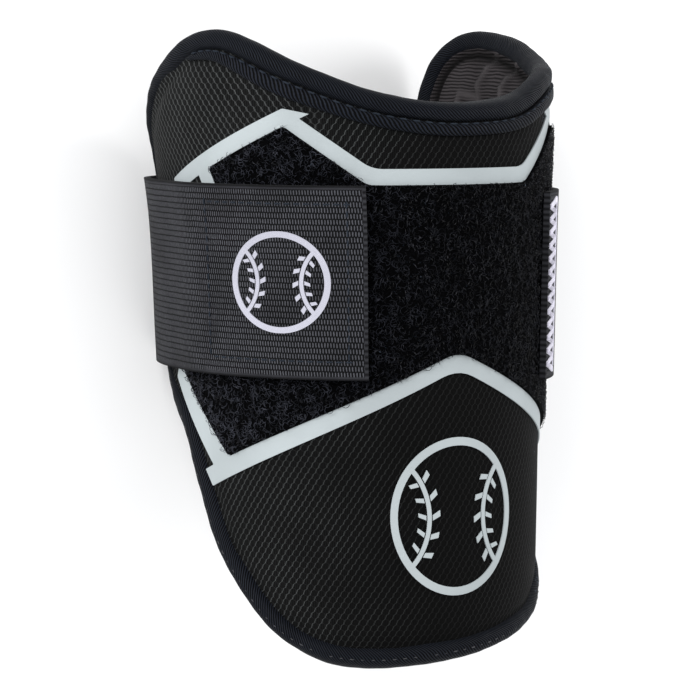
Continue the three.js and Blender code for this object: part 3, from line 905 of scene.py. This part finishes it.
class GUARD_OT_lining(bpy.types.Operator):
    """Build the padded lining with its welded lines"""

    bl_idname = "guard.lining"
    bl_label = "Lining"

    def execute(self, context):
        piece, u, y = wall_grid("foam_lining", 240, 140)
        rim = from_rim(u, y)
        weld_width, least_gap, skin = 1.5, 1.0, 1.6
        weld = np.zeros(len(u))
        for line in LINING_LINES:
            weld = np.maximum(weld, bell(from_line(u, y, line), 0, weld_width))
        # The groove beside the binding dips the lining, and its mask also darkens the lining's material there
        # as painted shadow.
        groove = bell(rim, 7.4, 1.5)
        piping = bell(rim, 9.6, 0.6)
        puff = np.clip((rim - 9) / 8, 0, 1)
        edge = np.clip(1 - (rim - 4) / 12, 0, 1)
        inner = -(mm("shell_wall") + mm("gap") + mm("lining_wall"))
        inner = inner + 1.9 * groove - 0.45 * piping - 0.5 * puff - 0.8 * weld + 3.6 * thinning(u, y) * edge
        inner = np.minimum(inner, -(mm("shell_wall") + least_gap))
        write_flat_map(piece, np.stack([u, y], axis=1))
        for name, values in (("weld", weld), ("groove", groove)):
            attribute = piece.data.attributes.new(name, "FLOAT", "POINT")
            attribute.data.foreach_set("value", values)
        write_points(piece, on_shell(u, y, inner) * MM)
        thicken(piece, skin, 1)
        soften(piece)
        finish(piece, material("ribbed_lining"), "lining_fabric", "padded_lining")
        return {"FINISHED"}


class GUARD_OT_binding(bpy.types.Operator):
    """Build the binding round the rim and the welt along the top"""

    bl_idname = "guard.binding"
    bl_label = "Binding"

    def execute(self, context):
        path, out, along = rim_path(count=640)
        self.tape(path, out, along)
        self.welt(path, out)
        self.welt_stitches(path, out)
        self.edge_stitches(path, out)
        return {"FINISHED"}

    def tape(self, path, out, along):
        """The tape: wider below the ears, and narrower along the left side."""
        u, y = path.T
        layers = mm("shell_wall") + mm("gap") + mm("lining_wall")
        wobble = uneven(along, (0.07, 1 / 2.9, 0.0), (0.06, 1 / 5.3, 1.0), (0.05, 1 / 1.1, 0.0))
        wider = 0.9 * np.clip((30 - y) / 25, 0, 1)
        narrower = 2.0 * np.clip((-90 - u) / 16, 0, 1) * np.clip((y + 48) / 16, 0, 1)
        covered = mm("binding_width") + wider - narrower
        across = (-covered / 2, covered / 2 - 0.05 + wobble * 0.5)
        thinner = thinning(u, y)
        rise = (-layers / 2 + 1.75 * thinner, layers / 2 + 1.35 - 2.3 * thinner + wobble)
        run = along[-1] + along[1]
        piece = tube("rim_tape", path, out, across, rise, sides=30, closed=True, run=run, girth=30.0)
        close_seams(piece)
        soften(piece, 80)
        finish(piece, material("twill_tape"), "binding_tape", "rim_binding")

    def top_run(self, path, reach):
        """Stations of the rim between the ears, in order. reach is in degrees."""
        lowest = 26
        return np.flatnonzero((path[:, 1] > lowest) & (np.abs(path[:, 0]) < reach * degree()))

    def welt(self, path, out):
        """A second roll beside the tape, fuller at the ears and tapered at both ends."""
        run = self.top_run(path, 84)
        count = len(run)
        share = np.abs(np.linspace(-1, 1, count))
        taper = np.sqrt(np.clip(1 - share**6, 0.004, 1))
        half = (1.75 + 0.5 * bell(share, 0.6, 0.22)) * taper
        wobble = uneven(np.arange(count), (0.05, 0.9, 0.0), (0.04, 0.37, 0.0))
        across = (-(mm("binding_width") - 0.25) - half, half)
        rise = (np.full(count, 0.25), (1.25 + wobble) * taper)
        piece = tube(
            "top_roll", path[run], out[run], across, rise, sides=18, closed=False, run=count, girth=10.0
        )
        edit(
            piece,
            lambda: bpy.ops.mesh.remove_doubles(threshold=MERGE_DISTANCE),
            lambda: bpy.ops.mesh.select_all(action="DESELECT"),
            lambda: bpy.ops.mesh.select_non_manifold(),
            lambda: bpy.ops.mesh.fill_holes(sides=0),
            lambda: bpy.ops.mesh.select_all(action="SELECT"),
            lambda: bpy.ops.mesh.normals_make_consistent(inside=False),
        )
        soften(piece, 80)
        finish(piece, material("twill_tape"), "binding_tape", "top_welt")

    def sew(self, name, flat, out, lift, model, thread_name, scales=None):
        """A row of stitches beside the rim, at flat points."""
        heading = np.arctan2(out[:, 0], -out[:, 1])
        places, turns = shell_frames(flat[:, 0], flat[:, 1], lift, heading)
        piece = copies(name, model, places, turns, scales)
        soften(piece)
        finish(piece, material(thread_name), "binding_tape")

    def welt_stitches(self, path, out):
        """Stitches in the valley between tape and welt."""
        run = self.top_run(path, 80)[::3]
        flat = path[run] - out[run] * (mm("binding_width") - 0.1)
        self.sew("welt_stitches", flat, out[run], 1.1, stitch_model(2.1, 0.26), "dark_thread")

    def edge_stitches(self, path, out):
        """Short stitches along the middle of the tape, below the ears."""
        run = np.flatnonzero(path[:, 1] < 30)[::3]
        flat = path[run] - out[run] * 3.3
        lift = 1.3 - 0.6 * thinning(*flat.T)
        scales = np.random.default_rng(5).uniform(0.6, 1.1, len(run))
        self.sew("edge_stitches", flat, out[run], lift, stitch_model(1.3, 0.17), "grey_thread", scales)


# Patch, border and prints, made flat and then wrapped


def curve_mesh(name, lines, closed, **settings):
    """A mesh made from straight-sided curves, each a list of points in metres."""
    shape = bpy.data.curves.new(name, "CURVE")
    for key, value in settings.items():
        setattr(shape, key, value)
    for line in lines:
        spline = shape.splines.new("POLY")
        spline.points.add(len(line) - 1)
        for point, place in zip(spline.points, line):
            point.co = (*place, 1)
        spline.use_cyclic_u = closed
    piece = bpy.data.objects.new(name, shape)
    bpy.context.scene.collection.objects.link(piece)
    select_only(piece)
    bpy.ops.object.convert(target="MESH")
    piece = bpy.context.object
    piece.name = piece.data.name = name
    return piece


def flat_plate(name, outlines, step=(2.0, 5.0)):
    """A flat mesh of outlines, each a list of (u, y) points, cut into strips so that it can be wrapped.
    Outlines inside others are holes."""
    lines = [[(u * MM, y * MM, 0) for u, y in outline] for outline in outlines]
    piece = curve_mesh(name, lines, True, dimensions="2D", fill_mode="BOTH")
    corners = np.concatenate([np.array(outline, float) for outline in outlines])
    cuts = []
    for axis, spacing in enumerate(step):
        low, high = corners[:, axis].min(), corners[:, axis].max()
        for k in range(math.ceil(low / spacing), math.ceil(high / spacing)):
            place, normal = [0.0, 0.0, 0.0], [0.0, 0.0, 0.0]
            place[axis], normal[axis] = k * spacing * MM, 1.0
            cuts.append(partial(cut_all, place, normal))
    edit(piece, *cuts, lambda: bpy.ops.mesh.select_all(action="SELECT"))
    close_seams(piece)
    if sum(face.normal.z * face.area for face in piece.data.polygons) < 0:
        edit(piece, lambda: bpy.ops.mesh.flip_normals())
    return piece


def join(name, parts):
    bpy.ops.object.select_all(action="DESELECT")
    for part in parts:
        part.select_set(True)
    bpy.context.view_layer.objects.active = parts[0]
    bpy.ops.object.join()
    piece = bpy.context.object
    piece.name = piece.data.name = name
    return piece


def wrap(piece, lift, wall):
    """Wraps a flat piece round the shell and gives it its thickness, outwards."""
    flat = read_points(piece)[:, :2] / MM
    write_flat_map(piece, flat)
    write_points(piece, on_shell(flat[:, 0], flat[:, 1], lift) * MM)
    thicken(piece, wall, 1)
    soften(piece, 40)


class Edge:
    """One straight edge of the patch, laid flat, and lines beside it."""

    def __init__(self, a, b):
        self.a, self.b = np.array(a, float), np.array(b, float)
        self.along = (self.b - self.a) / np.linalg.norm(self.b - self.a)
        self.out = np.array([self.along[1], -self.along[0]])

    def at_start(self, over, rise):
        return self.a - self.along * over + self.out * rise

    def at_end(self, over, rise):
        return self.b + self.along * over + self.out * rise


def cross(first, rise_first, second, rise_second):
    """Where a line beside one edge meets a line beside another."""
    a, b = first.a + first.out * rise_first, second.a + second.out * rise_second
    steps = np.linalg.solve(np.stack([first.along, -second.along], axis=1), b - a)
    return a + first.along * steps[0]


def rounded(points, cuts):
    """The same corners, with those that have a cut replaced by a short curve."""
    result = []
    for k, (corner, cut) in enumerate(zip(points, cuts)):
        if not cut:
            result.append(corner)
            continue
        back = points[k - 1] - corner
        ahead = points[(k + 1) % len(points)] - corner
        start = corner + back / np.linalg.norm(back) * cut
        end = corner + ahead / np.linalg.norm(ahead) * cut
        for t in np.linspace(0, 1, 6):
            result.append((1 - t) ** 2 * start + 2 * t * (1 - t) * corner + t**2 * end)
    return result


def patch_edges():
    base = tip() + mm("patch_foot")
    half = [np.array([a * mm("patch_reach"), base + b * mm("patch_height")]) for a, b in PATCH_HALF]
    half.append(half[-1] * (-1, 1))
    return [Edge(a, b) for a, b in zip(half[:-1], half[1:])]


def mirrored(half, cuts):
    """A whole outline from its right half, which starts and ends on or near the middle."""
    points = list(half) + [point * (-1, 1) for point in reversed(half[1:])]
    return rounded(points, list(cuts) + list(reversed(cuts[1:])))


def patch_outline(rise):
    edges = patch_edges()
    half = [np.array([0.0, edges[0].a[1] - rise / edges[0].along[0]])]
    half += [cross(a, rise, b, rise) for a, b in zip(edges[:-1], edges[1:])]
    return mirrored(half, [5.0, 0.5, 0.5, 0.5, 1.0, 1.0, 2.0])


def border_outline():
    """The border's outer outline: a frame round the patch whose stripes run on past its corners. It is
    wider at the sides and horns, and at the foot of each side."""
    e = patch_edges()
    w = mm("border_width")
    near, far = mm("gap"), mm("gap") + w
    side, horn, foot = near + 1.75 * w, near + 1.3 * w, 1.2 * far
    half = [
        np.array([0.0, e[0].a[1] - far / e[0].along[0]]),
        e[0].at_end(2.6 * w, foot),
        e[0].at_end(2.9 * w, near),
        cross(e[0], near, e[1], side),
        cross(e[1], side, e[2], far),
        cross(e[2], far, e[3], horn),
        cross(e[3], horn, e[4], near),
        e[4].at_start(4.6 * w, near),
        e[4].at_start(4.3 * w, far),
        e[4].at_end(0.5 * w, far),
        e[4].at_end(1.9 * w, near),
        cross(e[4], near, e[5], far),
        cross(e[5], far, e[6], far),
    ]
    cuts = [6.0, 0.3, 0.3, 0.4, 0.4, 0.4, 0.4, 0.3, 0.3, 0.3, 0.2, 0.3, 3.0]
    return mirrored(half, cuts)


class GUARD_OT_patch(bpy.types.Operator):
    """Build the loop patch with its pile"""

    bl_idname = "guard.patch"
    bl_label = "Loop Patch"

    def execute(self, context):
        wall = mm("patch_wall") - PILE_DEPTH
        piece = flat_plate("loop_ground", [patch_outline(0.0)])
        wrap(piece, mm("gap"), wall)
        finish(piece, material("pile_fabric"), "loop_pile", "loop_patch")
        fibres = [self.pile(name, mm("gap") + wall, **kind) for name, kind in PILES.items()]
        patch_outline(0.0)
        return {"FINISHED"}

    def pile(self, name, lift, seed, over, **shape):
        """Curled fibres over the patch, a few of which stray past its edges."""
        draw = np.random.default_rng(seed)
        outline = np.array(patch_outline(over))
        flat = draw.uniform(outline.min(axis=0), outline.max(axis=0), (FIBRE_COUNT, 2))
        flat = flat[inside(flat, outline)]
        heading = draw.uniform(0, FULL_TURN, len(flat))
        places, turns = shell_frames(flat[:, 0], flat[:, 1], lift, heading)
        piece = copies(name, self.curl(**shape), places, turns, draw.uniform(0.55, 1.2, len(flat)))
        soften(piece)
        finish(piece, material("pile_fibre"), "loop_pile")
        return piece

    def curl(self, standing, radius, sweep, thick):
        """One curled fibre: a thin rod bent round, standing up as a loop or lying on the pile."""
        bpy.ops.object.select_all(action="DESELECT")
        bpy.ops.mesh.primitive_cylinder_add(vertices=3, radius=thick * MM, depth=1 * MM)
        model = bpy.context.object
        edit(model, *[partial(cut_all, (0, 0, share * MM), (0, 0, 1)) for share in (-0.25, 0, 0.25)])
        points = read_points(model)
        along = points[:, 2] / MM + 0.5
        turn = along * math.radians(sweep) - math.radians(10)
        reach = radius * MM + points[:, 0]
        bent = np.stack([-reach * np.cos(turn), points[:, 1], reach * np.sin(turn)], axis=1)
        if standing:
            bent[:, 1] += 0.5 * points[:, 2]
        else:
            bent = np.stack([bent[:, 0], bent[:, 2], bent[:, 1] + (0.15 + 0.45 * along) * MM], axis=1)
        write_points(model, bent)
        return model


def inside(flat, outline):
    """Which flat points lie inside an outline."""
    result = np.zeros(len(flat), bool)
    for (ax, ay), (bx, by) in zip(outline, np.roll(outline, -1, axis=0)):
        if ay == by:
            continue
        crosses = (ay > flat[:, 1]) != (by > flat[:, 1])
        result ^= crosses & (flat[:, 0] < (bx - ax) * (flat[:, 1] - ay) / (by - ay) + ax)
    return result


class GUARD_OT_border(bpy.types.Operator):
    """Build the printed border round the patch"""

    bl_idname = "guard.border"
    bl_label = "Border"

    def execute(self, context):
        piece = flat_plate("border_film", [border_outline(), patch_outline(mm("gap"))])
        wrap(piece, FILM_LIFT, FILM_WALL)
        finish(piece, material("printed_film"), "matte_film", "patch_border")
        return {"FINISHED"}


def ring_points(u, y, radius, start=0.0, sweep=FULL_TURN, steps=72):
    closed = abs(sweep - FULL_TURN) < 1e-6
    angles = start + np.linspace(0, sweep, steps, endpoint=not closed)
    return [np.array([u + radius * math.cos(a), y + radius * math.sin(a)]) for a in angles]


def ball_shapes(u, y, radius, line, stitch):
    """A ball in lines: its outline, two seams and pairs of slanting stitches along each seam."""
    shapes = [[ring_points(u, y, radius), ring_points(u, y, radius - line)]]
    seam_radius, offset = 0.86 * radius, 1.3 * radius
    reach = math.acos((offset**2 + seam_radius**2 - (radius - line * 0.5) ** 2) / (2 * offset * seam_radius))
    for side in (-1, 1):
        centre = u + side * offset
        facing = math.pi if side > 0 else 0.0
        arc = {"start": facing - reach, "sweep": 2 * reach, "steps": 40}
        outer = ring_points(centre, y, seam_radius + stitch / 2, **arc)
        inner = ring_points(centre, y, seam_radius - stitch / 2, **arc)
        shapes.append([outer + inner[::-1]])
        for angle in np.radians([-31, -15.5, 0, 15.5, 31]):
            for flank in (-1, 1):
                shapes.append([stitch_bar(centre, y, seam_radius, facing + angle, flank, radius, stitch)])
    return shapes


def stitch_bar(centre, y, seam_radius, angle, flank, radius, stitch):
    """One short bar that leaves the seam at a slant."""
    root = seam_radius + flank * stitch * 0.75
    tip_radius = seam_radius + flank * (stitch * 0.5 + radius * 0.13)
    lean = 0.055
    half = stitch / 2 / seam_radius
    corners = ((root, -half), (root, half), (tip_radius, half + lean), (tip_radius, lean - half))
    return [
        np.array([centre + r * math.cos(angle + a), y + r * math.sin(angle + a)]) for r, a in corners
    ]


def printed_ball(name, u, y, radius, line, stitch, lift):
    """A ball in lines on the guard. The outline, seams and stitches each lie a hair above the last."""
    parts = []
    for k, shape in enumerate(ball_shapes(u, y, radius, line, stitch)):
        part = flat_plate(f"{name}_{k}", shape)
        wrap(part, lift + 0.01 * min(k, 2), INK_WALL)
        parts.append(part)
    return join(name, parts)


class GUARD_OT_prints(bpy.types.Operator):
    """Build the two printed balls"""

    bl_idname = "guard.prints"
    bl_label = "Prints"

    def execute(self, context):
        level = tip() + 43.0
        front = printed_ball("shell_print", 0.0, level, mm("front_ball"), 2.3, 1.4, FILM_LIFT)
        finish(front, material("printed_film"), "matte_film", "front_ball_print")
        lift = strap_lift(PRINT_PLACE) + mm("strap_wall") - 0.05
        side = printed_ball("strap_print", PRINT_PLACE * degree(), 0.0, mm("strap_ball"), 1.7, 1.1, lift)
        finish(side, material("strap_ink"), "print_ink", "strap_ball_print")
        return {"FINISHED"}


# Strap


def strap_lift(wrap_degrees):
    """Height of the strap's inner face off the shell."""
    over_patch = mm("gap") + mm("patch_wall") + mm("gap")
    over_hooks = over_patch + mm("hook_wall") + mm("gap")
    hooks_end = FREE_END - (HOOK_INSET + HOOK_LENGTH + HOOK_RUNOUT) / degree()
    settling = smooth_step(hooks_end + 7 - wrap_degrees, 0, 15)
    settled = np.where(wrap_degrees > 0, 1.0, settling)
    return over_hooks + (over_patch - over_hooks) * settled


def strap_line(y, wing_steps=90, turn_steps=10, back_steps=60):
    """Inner points of the strap at one place on Y, from its free end, round the back, to its fixed end."""
    leave = side_reach(y) / degree() - LEAVE
    floor = mm("strap_wall")

    def wing(start, end, level):
        wraps = np.linspace(start, end, wing_steps)
        return on_shell(wraps * degree(), level, strap_lift(wraps))

    def turn(inner, side):
        """The soft corner from a wing's last point down to the flat run."""
        wrap_degrees = side * leave
        level = y + (SKEW if side > 0 else 0)
        out = on_shell(wrap_degrees * degree(), level, strap_lift(wrap_degrees) + 1) - inner
        down = np.array([side * out[2], 0, -side * out[0]])
        drop = (floor - inner[2]) / down[2]
        corner = inner + down * drop
        end = corner - np.array([side * drop, 0, 0])
        t = np.linspace(0, 1, turn_steps + 1)[1:, None]
        return (1 - t) ** 2 * inner + 2 * t * (1 - t) * corner + t**2 * end

    left = wing(FREE_END, -leave, y)
    right = wing(leave, FIXED_END, y + SKEW)
    left_turn, right_turn = turn(left[-1], -1), turn(right[0], 1)
    back = np.linspace(left_turn[-1], right_turn[-1], back_steps)[1:-1]
    return np.concatenate([left, left_turn, back, right_turn[::-1], right])


def run_along(points):
    """How far along a row of points each of them is."""
    return np.append(0, np.cumsum(np.linalg.norm(np.diff(points, axis=0), axis=1)))


def strap_length():
    return run_along(strap_line(0.0))[-1]


class GUARD_OT_strap(bpy.types.Operator):
    """Build the elastic strap, its hook strip and its stitching"""

    bl_idname = "guard.strap"
    bl_label = "Strap"

    def execute(self, context):
        half = mm("strap_width") / 2
        rows = 28
        levels = np.linspace(-half, half, rows + 1)
        inner = np.array([strap_line(y) for y in levels])
        last = inner.shape[1] - 1
        piece, s, t = add_grid("elastic_band", last, rows)
        station, row = np.rint(s * last).astype(int), np.rint(t * rows).astype(int)
        along = run_along(inner[rows // 2])
        flat_u = FREE_END * degree() - along
        write_flat_map(piece, np.stack([flat_u[station], levels[row]], axis=1))
        write_points(piece, inner[row, station] * MM)
        edit(piece, lambda: bpy.ops.mesh.flip_normals())
        thicken(piece, mm("strap_wall"), 1)
        soften(piece, 50)
        finish(piece, material("woven_elastic"), "elastic_web", "elastic_strap")
        self.hooks(half)
        sewn = [self.box_stitches(half), self.zigzag(half)]
        return {"FINISHED"}

    def hooks(self, half):
        near = FREE_END * degree() - HOOK_INSET
        edge = half - HOOK_INSET
        outline = [(near - HOOK_LENGTH, -edge), (near, -edge), (near, edge), (near - HOOK_LENGTH, edge)]
        piece = flat_plate("hook_tab", [[np.array(point) for point in outline]])
        wrap(piece, mm("gap") * 2 + mm("patch_wall"), mm("hook_wall"))
        finish(piece, material("hook_fabric"), "hook_tape", "hook_strip")

    def box_stitches(self, half):
        """Rows of stitches that hold the hook strip: two along the strap and two across it."""
        inset, pitch = HOOK_INSET + 1.0, 2.6
        near = FREE_END * degree() - inset
        far = near - HOOK_LENGTH + 1.0
        edge = half - inset
        rows = [(u, y, math.pi) for y in (-edge, edge) for u in np.arange(near, far, -pitch)]
        rows += [(u, y, math.pi / 2) for u in (near, far) for y in np.arange(-edge + pitch / 2, edge, pitch)]
        u, y, heading = np.array(rows).T
        lift = strap_lift(u / degree()) + mm("strap_wall") + 0.12
        places, turns = shell_frames(u, y, lift, heading)
        piece = copies("hook_stitches", stitch_model(1.9, 0.24), places, turns)
        soften(piece)
        finish(piece, material("dark_thread"), "elastic_web")
        return piece

    def zigzag(self, half):
        """Dense zigzag of white thread that holds the fixed end, with a straight row beside it."""
        start, reach, pitch = FIXED_END + 0.5, 6.6, 3.7
        spine_gap, spine_pitch = 0.3, 1.1
        teeth = int((2 * half - 4) / pitch) * 2 + 1
        top = SKEW + half
        corners = [((start + (0 if k % 2 else reach)), top - 2.4 - k * pitch / 2) for k in range(teeth)]
        lines = [[(wrap, y + shift) for wrap, y in corners] for shift in (-0.6, -0.3, 0.0, 0.3, 0.6)]
        count = int((2 * half - 4.4) / spine_pitch)
        lines.append([(start + reach + spine_gap, top - 2.2 - k * spine_pitch) for k in range(count)])
        piece = curve_mesh(
            "anchor_zigzag",
            [self.on_strap(line) for line in lines],
            False,
            dimensions="3D",
            bevel_depth=0.36 * MM,
            bevel_resolution=1,
            use_fill_caps=True,
        )
        soften(piece, 60)
        finish(piece, material("white_thread"), "elastic_web")
        return piece

    def on_strap(self, line):
        """Places in metres on the strap's outer face. line holds degrees round and places on Y."""
        wraps, y = np.array(line).T
        lift = strap_lift(wraps) + mm("strap_wall") + 0.15
        return on_shell(wraps * degree(), y, lift) * MM


# Stage


class GUARD_OT_stage(bpy.types.Operator):
    """Set the floor, the lights and the camera"""

    bl_idname = "guard.stage"
    bl_label = "Stage"

    def execute(self, context):
        bpy.ops.object.select_all(action="DESELECT")
        bpy.ops.mesh.primitive_plane_add(size=6.0)
        floor = context.object
        floor.name = floor.data.name = "studio_floor"
        write_points(floor, read_points(floor) - (0, 0, 0.2 * MM))
        floor.data.materials.append(material("studio_floor"))
        self.light_all(context)
        self.lamp("key_light", (-0.8, 0.5, 0.9), 0.6, 8.6)
        self.lamp("side_light", (0.95, 0.25, 0.6), 0.5, 7.0)
        self.lamp("raking_light", (-1.1, 0.3, 0.32), 0.5, 6.0)
        self.lamp("low_light", (0.1, -0.9, 0.8), 0.7, 3.6)
        self.camera(context)
        return {"FINISHED"}

    def light_all(self, context):
        world = bpy.data.worlds.new("studio")
        world.use_nodes = True
        world.node_tree.nodes["Background"].inputs["Color"].default_value = (0.97, 0.98, 1.0, 1.0)
        world.node_tree.nodes["Background"].inputs["Strength"].default_value = 0.6
        context.scene.world = world
        context.scene.view_settings.view_transform = "Standard"

    def lamp(self, name, place, size, power):
        data = bpy.data.lights.new(name, "AREA")
        data.shape = "DISK"
        data.size = size
        data.energy = power
        lamp = bpy.data.objects.new(name, data)
        lamp.location = place
        lamp.rotation_euler = (Vector((0, 0, 0.05)) - Vector(place)).to_track_quat("-Z", "Y").to_euler()
        bpy.context.scene.collection.objects.link(lamp)

    def camera(self, context):
        """The photograph's view: a little to the guard's left and above the middle of its length."""
        turn, rise = math.radians(28.4), math.radians(5.0)
        right = Vector((math.cos(turn), 0, math.sin(turn)))
        back = Vector((-math.sin(turn) * math.cos(rise), math.sin(rise), math.cos(turn) * math.cos(rise)))
        up = back.cross(right)
        target = Vector((-0.0013, -0.0235, 0.0434))
        distance, field, sensor = 1.0, 0.203, 36.0
        data = bpy.data.cameras.new("camera")
        data.sensor_width = sensor
        data.lens = sensor * distance / field
        camera = bpy.data.objects.new("camera", data)
        axes = Matrix((right, up, back)).transposed().to_4x4()
        camera.matrix_world = Matrix.Translation(target + back * distance) @ axes
        context.scene.collection.objects.link(camera)
        bpy.context.scene.camera = camera


OPERATORS = (
    GUARD_OT_shell,
    GUARD_OT_lining,
    GUARD_OT_binding,
    GUARD_OT_patch,
    GUARD_OT_border,
    GUARD_OT_strap,
    GUARD_OT_prints,
    GUARD_OT_stage,
)


class GUARD_PT_panel(bpy.types.Panel):
    """Lists the guard's pieces"""

    bl_idname = "GUARD_PT_panel"
    bl_label = "Elbow Guard"
    bl_space_type = "VIEW_3D"
    bl_region_type = "UI"
    bl_category = "Elbow Guard"

    def draw(self, context):
        for operator in OPERATORS:
            self.layout.operator(operator.bl_idname)
        for group in (context.scene.guard_sizes, context.scene.guard_colours):
            for name in group.__annotations__:
                self.layout.prop(group, name)


CLASSES = (GuardSizes, GuardColours, *OPERATORS, GUARD_PT_panel)


def register():
    for made in CLASSES:
        bpy.utils.register_class(made)
    bpy.types.Scene.guard_sizes = bpy.props.PointerProperty(type=GuardSizes)
    bpy.types.Scene.guard_colours = bpy.props.PointerProperty(type=GuardColours)


def unregister():
    del bpy.types.Scene.guard_sizes
    del bpy.types.Scene.guard_colours
    for made in reversed(CLASSES):
        bpy.utils.unregister_class(made)


def main():
    register()
    bpy.ops.guard.stage()
    bpy.ops.guard.shell()
    bpy.ops.guard.lining()
    bpy.ops.guard.binding()
    bpy.ops.guard.patch()
    bpy.ops.guard.border()
    bpy.ops.guard.strap()
    bpy.ops.guard.prints()


if __name__ == "__main__":
    main()
